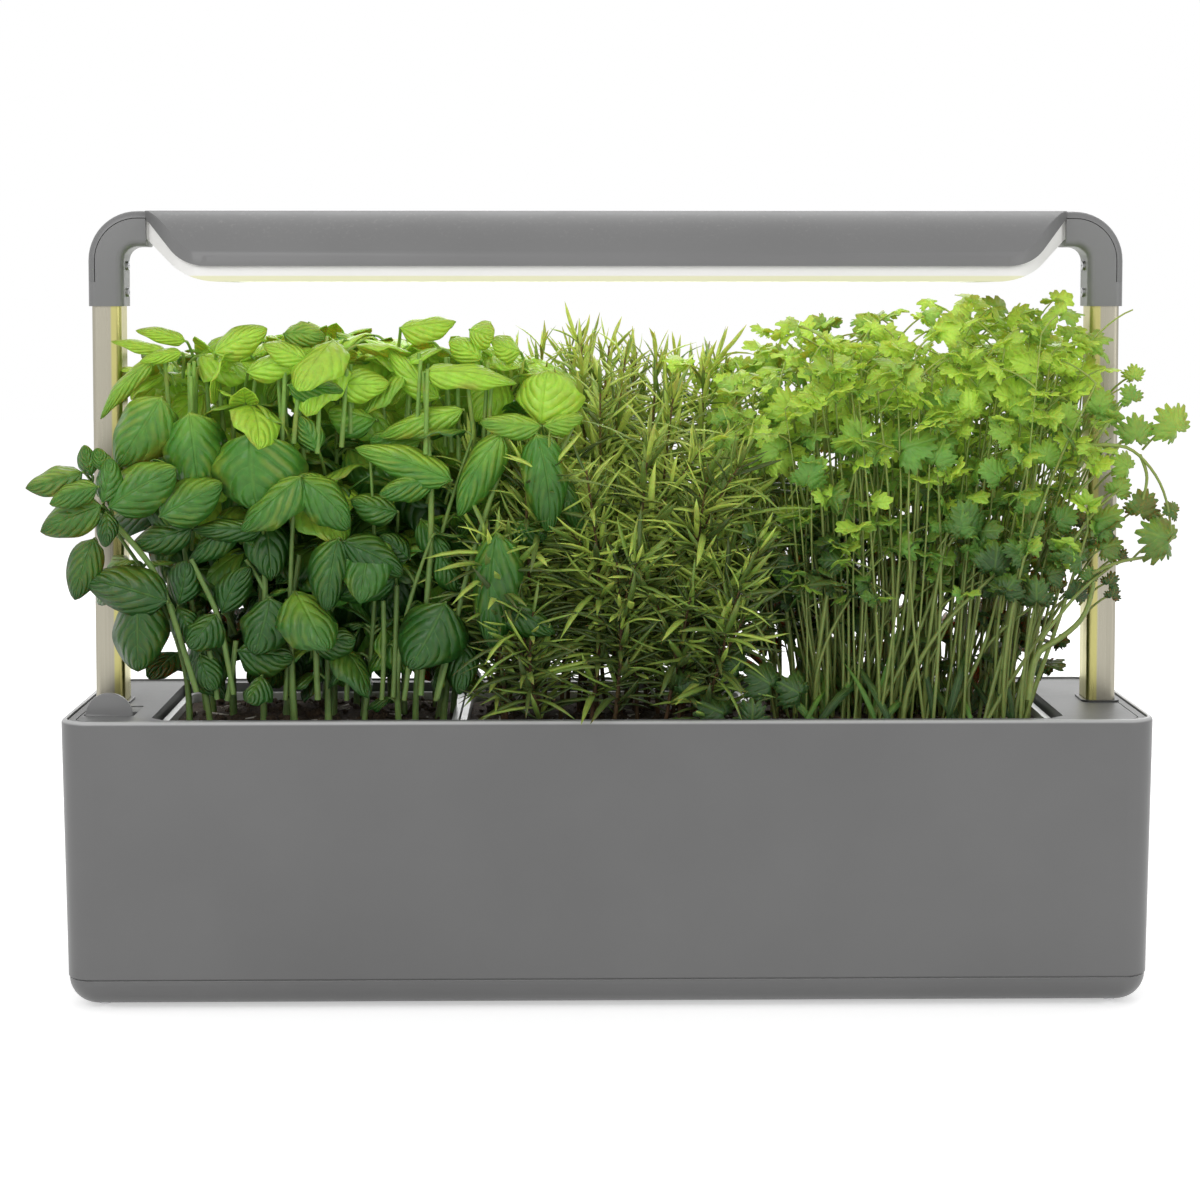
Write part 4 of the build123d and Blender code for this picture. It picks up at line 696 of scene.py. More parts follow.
def aimMatrix(base, forward, lift, size, roll=0.0):
    forward = forward.normalized()
    side = forward.cross(lift)
    if side.length < 0.05:
        side = forward.cross(Vector((1, 0.3, 0)))
    side.normalize()
    normal = side.cross(forward)
    turn = Matrix((side, forward, normal)).transposed().to_4x4()
    return Matrix.Translation(base) @ turn @ Matrix.Rotation(roll, 4, "Y") @ Matrix.Scale(size, 4)


# leaves from the mark on get tones between low and low + span
def shiftTones(leaves, mark, low, span):
    leaves[mark:] = [(shape, place, low + span * tone) for shape, place, tone in leaves[mark:]]


# copies are shared out, back to front, over pieces small enough for the export
def placeCopies(name, places, material, parts=1, thickness=0.0):
    places = sorted(places, key=lambda place: -place[1].translation.y)
    share = math.ceil(len(places) / parts)
    pieces = []
    for number in range(parts):
        some = places[number * share:(number + 1) * share]
        pieces.append(placeSome(name + str(number + 1), some, material, thickness))
    return pieces


def placeSome(name, places, material, thickness):
    bm = bmesh.new()
    for template, matrix, tone in places:
        copy = template.copy()
        copy.transform(matrix)
        mark = copy.attributes.new("tone", "FLOAT", "POINT")
        mark.data.foreach_set("value", [tone] * len(copy.vertices))
        bm.from_mesh(copy)
        bpy.data.meshes.remove(copy)
    for vert in bm.verts:
        vert.co.y = min(growRoom["back"], max(growRoom["front"], vert.co.y))
    piece = smoothPiece(name, toMesh(name, bm), [material])
    if thickness:
        sheet = piece.modifiers.new("bladeThickness", "SOLIDIFY")
        sheet.thickness = thickness
        sheet.offset = 0.0
    return piece


# runs of (point, radius) become smooth tapered stems
def buildStems(name, runs, material, sides=1):
    curve = bpy.data.curves.new(name, "CURVE")
    curve.dimensions = "3D"
    curve.bevel_depth = 0.001
    curve.bevel_resolution = sides
    curve.resolution_u = 3
    curve.use_fill_caps = True
    for run in runs:
        spline = curve.splines.new("NURBS")
        spline.points.add(len(run) - 1)
        for point, (place, radius) in zip(spline.points, run):
            point.co = (*place, 1.0)
            point.radius = radius / 0.001
        spline.order_u = 3
        spline.use_endpoint_u = True
    holder = addObject(name + "Line", curve)
    bpy.context.view_layer.update()
    mesh = bpy.data.meshes.new_from_object(holder.evaluated_get(bpy.context.evaluated_depsgraph_get()))
    bpy.data.objects.remove(holder)
    mesh.name = name
    mesh.materials.clear()
    return smoothPiece(name, mesh, [material])


def bendPath(foot, tip, sway, rng, steps=6):
    points = []
    bow = Vector((rng.uniform(-1, 1) * sway, rng.uniform(-1, 1) * sway, 0))
    for step in range(steps + 1):
        share = step / steps
        point = foot.lerp(tip, share)
        level = Vector((tip.x - foot.x, tip.y - foot.y, 0)) * (share ** 1.6 - share)
        points.append(point + level + bow * math.sin(share * math.pi))
    return points


def pathAt(points, share):
    spot = min(len(points) - 1.001, max(0.0, share * (len(points) - 1)))
    index = int(spot)
    here = points[index].lerp(points[index + 1], spot - index)
    return here, (points[index + 1] - points[index]).normalized()


# room kept free of leaves round the middle of each post, in metres
postGap = {"x": 0.273, "halfX": 0.013, "halfY": 0.016}
# room for the plants, in metres; front and back hold every blade, the rest a blade's middle line
growRoom = {"left": -0.330, "right": 0.334, "depth": 0.092, "low": 0.158, "high": 0.3815,
            "front": -0.0962, "back": 0.0932}


# keeps foliage off the posts, the hood and the trough, and inside its own height
def isClear(*points):
    for point in points:
        if abs(abs(point.x) - postGap["x"]) < postGap["halfX"] and abs(point.y) < postGap["halfY"]:
            return False
        if not (growRoom["left"] <= point.x <= growRoom["right"] and abs(point.y) <= growRoom["depth"]
                and growRoom["low"] <= point.z <= growRoom["high"]):
            return False
    return True


# a point given in millimetres
def pointAt(x, y, z):
    return Vector((x, y, z)) / 1000


# where a stem starts, a little way down in the soil
def footAt(side, x, y, sunk):
    foot = pointAt(x, y, 0)
    foot.z = soilTop[side](foot.x, foot.y) - sunk
    return foot


def taper(path, radius, loss):
    return [(point, radius * (1 - loss * i / (len(path) - 1))) for i, point in enumerate(path)]


# basil

basilFacts = {
    # a leaf's width and its stalk as shares of its length, then millimetres
    "blade": 0.76, "petiole": 0.26, "nodeGap": 19.0, "stemRadius": 2.1,
    # foot x, y and tip x, y, z in millimetres, then the lowest leaf's height
    "stems": (
        (-226, -34, -266, -54, 268, 214), (-224, 20, -244, 30, 346, 250), (-213, -40, -232, -52, 312, 205),
        (-206, -6, -214, -6, 350, 230), (-198, 38, -192, 46, 358, 240), (-186, -34, -192, -46, 326, 218),
        (-178, 6, -172, 8, 354, 240), (-168, -46, -166, -60, 282, 196), (-160, 34, -152, 42, 359, 240),
        (-150, -18, -146, -24, 346, 224), (-140, 14, -128, 10, 355, 240), (-132, -42, -126, -58, 300, 196),
        (-122, 38, -104, 38, 358, 240), (-112, -4, -92, -8, 347, 226), (-104, -40, -72, -54, 312, 200),
        (-96, 24, -66, 26, 342, 226), (-94, -8, -48, -18, 318, 214), (-150, -44, -148, -56, 236, 186),
        (-218, 4, -236, 4, 300, 220), (-112, -44, -94, -60, 258, 188), (-90, -26, -44, -40, 296, 206),
        (-86, 10, -36, 14, 330, 226), (-176, -22, -172, -28, 300, 206), (-134, -14, -128, -20, 292, 200),
    ),
    # leaves that face the front: base x, z and tip x, z and depth y in millimetres, width share, tone
    "faced": (
        (-187, 307, -188, 266, -70, 1.14, 0.40), (-220, 317, -215, 276, -64, 0.74, 0.34),
        (-235, 325, -251, 287, -62, 0.69, 0.32), (-261, 268, -226, 284, -74, 0.65, 0.36),
        (-235, 263, -201, 274, -72, 0.65, 0.36), (-264, 271, -254, 291, -76, 0.60, 0.32),
        (-161, 284, -189, 254, -72, 0.55, 0.42), (-162, 283, -135, 260, -70, 0.59, 0.38),
        (-183, 255, -217, 249, -62, 0.34, 0.22), (-220, 256, -246, 239, -60, 0.51, 0.08),
        (-196, 259, -220, 235, -58, 0.44, 0.08), (-232, 218, -275, 227, -70, 0.53, 0.30),
        (-248, 219, -247, 181, -66, 0.71, 0.38), (-228, 215, -218, 234, -58, 0.75, 0.28),
        (-205, 210, -194, 234, -56, 0.60, 0.18), (-179, 219, -182, 190, -62, 0.92, 0.32),
        (-208, 210, -215, 190, -60, 0.84, 0.32), (-197, 190, -170, 180, -56, 0.71, 0.16),
        (-229, 213, -222, 194, -54, 0.67, 0.34), (-171, 217, -162, 194, -58, 0.72, 0.32),
        (-217, 188, -214, 168, -56, 0.78, 0.28), (-184, 177, -188, 161, -60, 0.84, 0.24),
        (-275, 286, -298, 270, -72, 0.55, 0.34), (-266, 279, -288, 269, -78, 0.53, 0.40),
        (-265, 269, -293, 251, -75, 0.57, 0.36), (-270, 251, -278, 219, -68, 0.50, 0.40),
        (-265, 287, -268, 298, -70, 0.85, 0.34), (-271, 284, -276, 298, -68, 0.57, 0.30),
        (-263, 265, -260, 247, -72, 0.56, 0.16), (-241, 344, -270, 316, -52, 0.25, 0.42),
        (-234, 348, -263, 351, -48, 0.27, 0.72), (-225, 354, -250, 356, -44, 0.33, 0.80),
        (-226, 348, -245, 339, -50, 0.35, 0.70), (-56, 306, -84, 267, -68, 0.40, 0.52),
        (-83, 281, -131, 297, -62, 0.35, 0.50), (-77, 318, -120, 303, -56, 0.32, 0.56),
        (-36, 311, -36, 337, -64, 1.22, 0.72), (-36, 310, -66, 304, -70, 0.42, 0.50),
        (-34, 310, -14, 311, -70, 0.59, 0.50), (-38, 306, -25, 257, -72, 0.43, 0.32),
        (-27, 286, -17, 252, -62, 0.36, 0.20), (-59, 255, -71, 194, -72, 0.43, 0.50),
        (-57, 219, -34, 196, -68, 0.58, 0.32), (-86, 217, -98, 182, -68, 0.89, 0.32),
        (-142, 251, -148, 215, -68, 0.55, 0.34), (-140, 249, -110, 231, -66, 0.54, 0.26),
        (-113, 229, -151, 216, -60, 0.45, 0.20), (-129, 208, -142, 180, -14, 0.80, 1.00),
        (-92, 281, -119, 273, -60, 0.49, 0.40), (-90, 242, -81, 220, -54, 0.62, 0.40),
        (-169, 331, -143, 321, -58, 0.49, 0.14), (-172, 358, -152, 350, -50, 0.59, 0.12),
        (-144, 332, -120, 321, -52, 0.64, 0.78), (-111, 361, -83, 357, -42, 0.53, 0.85),
        (-97, 338, -50, 334, -58, 0.35, 0.82), (-90, 324, -122, 339, -48, 0.41, 0.66),
        (-74, 360, -65, 348, -40, 0.91, 0.70), (-191, 338, -157, 341, -56, 0.42, 0.86),
        (-209, 348, -181, 355, -48, 0.54, 0.92), (-159, 344, -182, 349, -60, 0.58, 0.88),
        (-147, 271, -164, 282, -64, 0.67, 0.45), (-154, 296, -163, 313, -56, 0.65, 0.30),
        (-112, 264, -136, 260, -56, 0.64, 0.30), (-106, 238, -122, 248, -50, 0.83, 0.24),
        (-68, 344, -85, 352, -44, 0.74, 0.86), (-47, 348, -62, 344, -40, 0.82, 0.80),
        (-124, 312, -148, 312, -44, 0.74, 0.40), (-100, 301, -126, 296, -46, 0.61, 0.44),
        (-51, 259, -39, 244, -54, 0.76, 0.24), (-158, 196, -136, 190, -56, 0.73, 0.22),
        (-79, 195, -74, 168, -50, 0.59, 0.16), (-227, 286, -243, 302, -52, 0.61, 0.22),
        (-201, 281, -216, 286, -52, 0.81, 0.20), (-100, 259, -87, 237, -48, 0.54, 0.30),
        (-243, 270, -224, 249, -56, 0.56, 0.16),
    ),
    # stems that show in front: depth y, radius and the x, z of their points in millimetres
    "shown": (
        (-62, 1.6, ((-268, 268), (-259, 257), (-249, 246), (-240, 234), (-233, 219), (-225, 193),
                    (-218, 169))),
        (-58, 1.5, ((-221, 239), (-214, 225), (-207, 210), (-203, 191), (-199, 167))),
        (-56, 1.6, ((-94, 280), (-94, 249), (-96, 222), (-98, 196), (-100, 166))),
        (-60, 1.5, ((-53, 297), (-61, 276), (-68, 254), (-76, 228), (-83, 196), (-91, 165))),
        (-50, 1.7, ((-184, 248), (-182, 222), (-185, 195), (-184, 164))),
        (-52, 1.8, ((-157, 238), (-155, 206), (-156, 184), (-155, 163))),
        (-50, 1.5, ((-113, 224), (-113, 195), (-115, 164))),
        (-52, 1.4, ((-120, 216), (-119, 190), (-121, 163))),
        (-50, 1.2, ((-193, 238), (-185, 227), (-181, 216))),
        (-48, 1.5, ((-137, 186), (-140, 173), (-140, 162))),
        (-54, 1.6, ((-198, 195), (-200, 178), (-203, 163))),
        (-46, 1.5, ((-165, 240), (-170, 205), (-173, 162))),
        (-56, 1.4, ((-212, 190), (-209, 174), (-208, 164))),
        (-54, 1.5, ((-106, 187), (-107, 174), (-109, 163))),
        (-56, 1.5, ((-86, 190), (-90, 174), (-92, 163))),
    ),
    # pairs of leaves up a stem: size in metres, angles in degrees
    "pair": {"size": 0.021, "swell": 0.020, "vary": (-0.004, 0.008), "pitch": (-42, 2), "climb": 18,
             "front": 24, "roll": (6, 42)},
    # a small leaf in the fork of many pairs, its size a share of theirs
    "fork": {"share": 0.85, "turn": 0.7, "pitch": (5, 50), "size": (0.34, 0.55), "stalk": 0.004},
    # a few leaves low on a stem, at a share of its height
    "low": {"share": (0.10, 0.48), "pitch": (-60, 10), "size": (0.014, 0.028), "roll": 0.5},
    # the head at a stem's tip: outer and then inner leaves
    "head": {"leaves": 7, "outer": 4, "turn": 1.15, "pitch": ((-22, 14), (30, 62)),
             "size": ((0.030, 0.042), (0.013, 0.022)), "roll": 0.4, "stalk": 0.004},
    # loose leaves: how many, places in millimetres, tone from a lowest one over a span; the low tones of the
    # rear ones are painted shade
    "rear": {"count": 250, "x": (-236, -74), "y": (-34, 62), "z": (172, 300), "pitch": (-60, 0),
             "size": (0.022, 0.038), "roll": 0.6, "tone": (0.0, 0.45)},
    "crown": {"count": 120, "x": (-246, -38), "y": (-46, 52), "z": 322, "rise": 30, "ends": (-254, -28),
              "slopes": (40, 60), "pitch": (-34, 10), "size": (0.028, 0.044), "roll": 0.5,
              "tone": (0.35, 0.65)},
    # short stems under the crown
    "rising": {"count": 34, "x": (-236, -50), "y": (-60, -30), "low": (288, 306), "high": (334, 348),
               "lean": 5},
    # most grown leaves stay away from the front below this height, in metres
    "bare": {"y": -0.050, "z": 0.338, "share": 0.82},
}
basilLeafMaterial = plantMaterial(
    "basilLeaf", (0.022, 0.092, 0.013), (0.074, 0.238, 0.028), (0.340, 0.620, 0.048), 0.205, 0.356, 0.13,
    (0.24, 0.44, 0.09), 5.0, 0.46, 0.80, 0.34, 0.09, warm=(0.36, 0.40, 0.050), warmth=0.8, sun=0.75,
    spread=0.50, streak=0.30)
basilStemMaterial = plantMaterial(
    "basilStem", (0.13, 0.22, 0.055), (0.20, 0.36, 0.07), (0.34, 0.58, 0.09), 0.16, 0.34,
    bump=0.2, gloss=0.45, glow=0.06)


def buildBasil():
    rng = random.Random(41)
    shapes = [bladeTemplate(basilFacts["blade"] * rng.uniform(0.9, 1.12), rng.uniform(0.5, 1.25),
                            rng.uniform(0.35, 0.8), rng.uniform(0.0, 0.16), rng.uniform(0.08, 0.20), rng)
              for _ in range(9)]
    pair, fork, low, head, rising, bare = (
        basilFacts[key] for key in ("pair", "fork", "low", "head", "rising", "bare"))
    leaves, runs = [], []

    def addLeaf(base, azimuth, pitch, size, roll=0.0, stalk=None):
        heading = Vector((math.cos(azimuth) * math.cos(pitch), math.sin(azimuth) * math.cos(pitch),
                          math.sin(pitch)))
        stalkWay = Vector((math.cos(azimuth), math.sin(azimuth), 0.75)).normalized()
        stalk = size * basilFacts["petiole"] if stalk is None else stalk
        start = base + stalkWay * stalk
        middle, tip = start + heading * size * 0.5, start + heading * size * 0.95
        sag = Vector((0, 0, -0.22 * size))
        if not isClear(start, middle + sag * 0.3, tip + sag):
            return
        # the front is mostly left to the leaves that are placed one by one
        if min(tip.y, start.y) < bare["y"] and tip.z < bare["z"] and rng.random() < bare["share"]:
            return
        leaves.append((rng.choice(shapes), aimMatrix(start, heading, Vector((0, 0, 1)), size, roll),
                       rng.random()))
        knee = base + stalkWay * stalk * 0.55 + Vector((0, 0, stalk * 0.12))
        runs.append([(base, 0.0009), (knee, 0.0008), (start, 0.0007), (start + heading * size * 0.1, 0.0005)])

    def addRandom(spot, facts):
        addLeaf(spot, rng.uniform(0, 6.28), math.radians(rng.uniform(*facts["pitch"])),
                rng.uniform(*facts["size"]), rng.uniform(-facts["roll"], facts["roll"]))

    def addLoose(facts, heightAt):
        for _ in range(facts["count"]):
            x, y = rng.uniform(*facts["x"]), rng.uniform(*facts["y"])
            mark = len(leaves)
            addRandom(pointAt(x, y, heightAt(x)), facts)
            shiftTones(leaves, mark, *facts["tone"])

    # the crown falls off towards its two ends
    def crownHeight(x):
        facts = basilFacts["crown"]
        (left, right), (leftSlope, rightSlope) = facts["ends"], facts["slopes"]
        edge = max(0.0, min(1.0, (x - left) / leftSlope, (right - x) / rightSlope))
        return facts["z"] + facts["rise"] * edge * rng.uniform(0.4, 1.0)

    for footX, footY, tipX, tipY, tipZ, leafZ in basilFacts["stems"]:
        foot = footAt("left", footX, footY, 0.004)
        tip = pointAt(tipX, tipY, tipZ - 8)
        path = bendPath(foot, tip, 0.006, rng)
        runs.append(taper(path, basilFacts["stemRadius"] / 1000 * rng.uniform(0.8, 1.15), 0.55))
        level = lowest = leafZ / 1000
        turn = rng.uniform(0, math.pi)
        while level < tip.z - 0.012:
            here, _ = pathAt(path, (level - foot.z) / (tip.z - foot.z))
            climb = (level - lowest) / max(0.03, tip.z - lowest)
            swell = math.sin(math.pi * min(1.0, 0.10 + 0.72 * climb))
            size = pair["size"] + pair["swell"] * swell + rng.uniform(*pair["vary"])
            for half in (0, math.pi):
                azimuth = turn + half + rng.uniform(-0.25, 0.25)
                front = max(0.0, -math.sin(azimuth))
                pitch = math.radians(rng.uniform(*pair["pitch"]) + pair["climb"] * climb)
                pitch -= math.radians(pair["front"]) * front
                roll = math.radians(rng.uniform(*pair["roll"])) * math.cos(azimuth)
                addLeaf(here, azimuth, pitch, size, roll)
                if rng.random() < fork["share"]:
                    inner = azimuth + rng.uniform(-fork["turn"], fork["turn"])
                    addLeaf(here + Vector((0, 0, 0.003)), inner, math.radians(rng.uniform(*fork["pitch"])),
                            size * rng.uniform(*fork["size"]), 0.0, fork["stalk"])
            turn += math.pi / 2 + rng.uniform(-0.2, 0.2)
            level += basilFacts["nodeGap"] / 1000 * rng.uniform(0.8, 1.15) * (1 - 0.25 * climb)
        for _ in range(rng.choice((2, 3, 4)) if footY > -20 else rng.choice((1, 2, 3))):
            here, _ = pathAt(path, rng.uniform(*low["share"]))
            addRandom(here, low)
        for index in range(head["leaves"]):
            ring = 0 if index < head["outer"] else 1
            pitch = math.radians(rng.uniform(*head["pitch"][ring]))
            size = rng.uniform(*head["size"][ring])
            roll = rng.uniform(-head["roll"], head["roll"])
            addLeaf(tip, turn + index * head["turn"], pitch, size, roll, head["stalk"])
    addLoose(basilFacts["rear"], lambda _: rng.uniform(*basilFacts["rear"]["z"]))
    addLoose(basilFacts["crown"], crownHeight)
    for _ in range(rising["count"]):
        x, y = rng.uniform(*rising["x"]), rng.uniform(*rising["y"])
        bottom, top = rng.uniform(*rising["low"]), rng.uniform(*rising["high"])
        lean = rng.uniform(-rising["lean"], rising["lean"])
        runs.append([(pointAt(x + lean * share, y, bottom + (top - bottom) * share), 0.0015 - 0.0004 * share)
                     for share in (0.0, 0.5, 1.0)])
    for depth, radius, line in basilFacts["shown"]:
        runs.append([(pointAt(x, depth, z), radius / 1000) for x, z in line])
    for baseX, baseZ, tipX, tipZ, depth, width, tone in basilFacts["faced"]:
        base = pointAt(baseX, depth, baseZ)
        tip = pointAt(tipX, depth - rng.uniform(0, 8), tipZ)
        size = (tip - base).length * 1.06
        shape = bladeTemplate(width * 1.06, rng.uniform(0.5, 0.9), rng.uniform(0.6, 1.0),
                              rng.uniform(0.0, 0.10), rng.uniform(0.10, 0.22), rng, 8, 14)
        facing = Vector((rng.uniform(-0.35, 0.35), -1, rng.uniform(0.25, 0.75)))
        heading = tip - base + Vector((0, -0.006, 0.010))
        leaves.append((shape, aimMatrix(base, heading, facing, size), tone))
        root = base + Vector((rng.uniform(-0.006, 0.006), 0.022, -0.014))
        runs.append([(root, 0.0010), (base + Vector((0, 0.010, 0.001)), 0.0009), (base, 0.0007)])
    blades = placeCopies("basilLeaves", leaves, basilLeafMaterial, 2, 0.0004)
    joinPlanter(blades + [buildStems("basilStems", runs, basilStemMaterial)], "basil_plant")
    print("stage: basil", len(leaves), "leaves")


buildBasil()


# rosemary

rosemaryFacts = {
    # needle, gap and stemRadius in millimetres, bends as shares of a needle's length
    "needle": (21.0, 40.0), "gap": 4.4, "stemRadius": 1.3, "bends": (-0.62, -0.44, -0.28, -0.14, 0.04, 0.20),
    # angle between needle and stem, in degrees
    "spread": (34, 82),
    # side branches start at a share of the stem's height and are this long, in metres
    "branch": {"share": (0.22, 0.72), "reach": (0.035, 0.07), "radius": 0.0008},
    # long loose blades: places in millimetres, size in metres
    "arches": {"count": 130, "x": (-46, 74), "y": (-62, 40), "z": (176, 312), "size": (0.035, 0.062)},
    # no needle ends below this height and beyond this depth in metres, where the trough's rim is
    "rim": {"z": 0.162, "y": 0.05},
    # foot x, y and tip x, y, z in millimetres
    "stems": (
        (-56, -30, -74, -44, 300), (-52, 10, -66, 20, 336), (-46, 36, -52, 50, 342),
        (-44, -14, -52, -20, 346), (-36, -40, -44, -62, 292), (-34, 14, -36, 16, 350),
        (-26, -26, -30, -38, 322), (-22, 34, -20, 44, 350), (-16, 2, -14, 0, 352),
        (-10, -42, -12, -64, 286), (-6, -20, -4, -26, 334), (0, 24, 2, 30, 350), (8, -4, 10, -6, 344),
        (12, 38, 18, 48, 346), (16, -34, 22, -52, 306), (22, 10, 28, 10, 346), (28, -16, 36, -22, 326),
        (32, 32, 40, 42, 342), (38, -40, 52, -58, 282), (42, 4, 54, 4, 338), (46, -24, 66, -34, 304),
        (50, 26, 66, 32, 330), (54, -6, 78, -12, 296), (56, -38, 82, -56, 246), (-54, -42, -66, -62, 246),
        (2, -46, 4, -68, 238), (30, -44, 44, -70, 226), (-40, 44, -44, 58, 270), (-10, 46, -10, 60, 262),
        (24, 44, 30, 58, 274), (48, 42, 62, 52, 258), (-34, -46, -40, -70, 212), (52, -42, 72, -62, 208),
        (-14, 18, -18, 20, 262), (14, 20, 18, 22, 280), (36, -2, 44, -4, 258),
    ),
}
rosemaryLeafMaterial = plantMaterial(
    "rosemaryNeedle", (0.055, 0.090, 0.022), (0.180, 0.300, 0.050), (0.460, 0.600, 0.105), 0.17, 0.36,
    bump=0.35, gloss=0.34, glow=0.12, mottle=500.0, warm=(0.30, 0.32, 0.09), spread=0.62)
rosemaryStemMaterial = plantMaterial(
    "rosemaryWood", (0.085, 0.050, 0.022), (0.17, 0.12, 0.045), (0.34, 0.34, 0.08), 0.17, 0.34,
    bump=0.8, gloss=0.7, glow=0.0, mottle=900.0)


def buildRosemary():
    rng = random.Random(7)
    shapes = [needleTemplate(bend) for bend in rosemaryFacts["bends"]]
    short, long = rosemaryFacts["needle"]
    rim, branch, arches = rosemaryFacts["rim"], rosemaryFacts["branch"], rosemaryFacts["arches"]
    needles, runs = [], []

    def dressBranch(path, low, thick):
        length = sum((b - a).length for a, b in zip(path, path[1:]))
        runs.append(taper(path, thick, 0.6))
        travelled = length * low
        turn = rng.uniform(0, 3.14)
        while travelled < length:
            share = travelled / length
            here, way = pathAt(path, share)
            side = way.cross(Vector((0.2, 1, 0.1))).normalized()
            for third in (0, 2.1, 4.2):
                out = Matrix.Rotation(turn + third + rng.uniform(-0.4, 0.4), 3, way) @ side
                spread = math.radians(rng.uniform(*rosemaryFacts["spread"]) * (1 - 0.62 * share ** 6))
                heading = way * math.cos(spread) + out * math.sin(spread)
                size = rng.uniform(short, long) / 1000 * (1 - 0.45 * share ** 5)
                tip = here + heading * size
                if isClear(tip) and not (tip.z < rim["z"] and abs(tip.y) > rim["y"]):
                    needles.append((rng.choice(shapes), aimMatrix(here, heading, way, size), rng.random()))
            turn += math.pi / 2 + rng.uniform(-0.25, 0.25)
            travelled += rosemaryFacts["gap"] / 1000 * rng.uniform(0.8, 1.25)

    for footX, footY, *top in rosemaryFacts["stems"]:
        path = bendPath(footAt("middle", footX, footY, 0.004), pointAt(*top), 0.008, rng)
        dressBranch(path, 0.14, rosemaryFacts["stemRadius"] / 1000)
        for _ in range(rng.choice((2, 2, 3))):
            here, _ = pathAt(path, rng.uniform(*branch["share"]))
            azimuth = rng.uniform(0, 6.28)
            out = Vector((math.cos(azimuth), math.sin(azimuth) * 0.8, 0))
            reach = rng.uniform(*branch["reach"])
            tip = here + out * reach * 0.5 + Vector((0, 0, reach))
            if isClear(tip):
                dressBranch(bendPath(here, tip, 0.003, rng, 4), 0.12, branch["radius"])
    straps = strapTemplates(0.05, (0.7, 1.1, 1.5), rng)
    for _ in range(arches["count"]):
        start = pointAt(rng.uniform(*arches["x"]), rng.uniform(*arches["y"]), rng.uniform(*arches["z"]))
        azimuth = rng.choice((0.0, math.pi)) + rng.uniform(-0.9, 0.9)
        heading = Vector((math.cos(azimuth), math.sin(azimuth) * 0.6, rng.uniform(0.2, 1.1)))
        size = rng.uniform(*arches["size"])
        if isClear(start + heading.normalized() * size):
            needles.append((rng.choice(straps), aimMatrix(start, heading, Vector((0, -0.4, 1)), size),
                            rng.random()))
    blades = placeCopies("rosemaryNeedles", needles, rosemaryLeafMaterial, 3)
    joinPlanter(blades + [buildStems("rosemaryStems", runs, rosemaryStemMaterial)], "rosemary_plant")
    print("stage: rosemary", len(needles), "needles")


buildRosemary()


# coriander

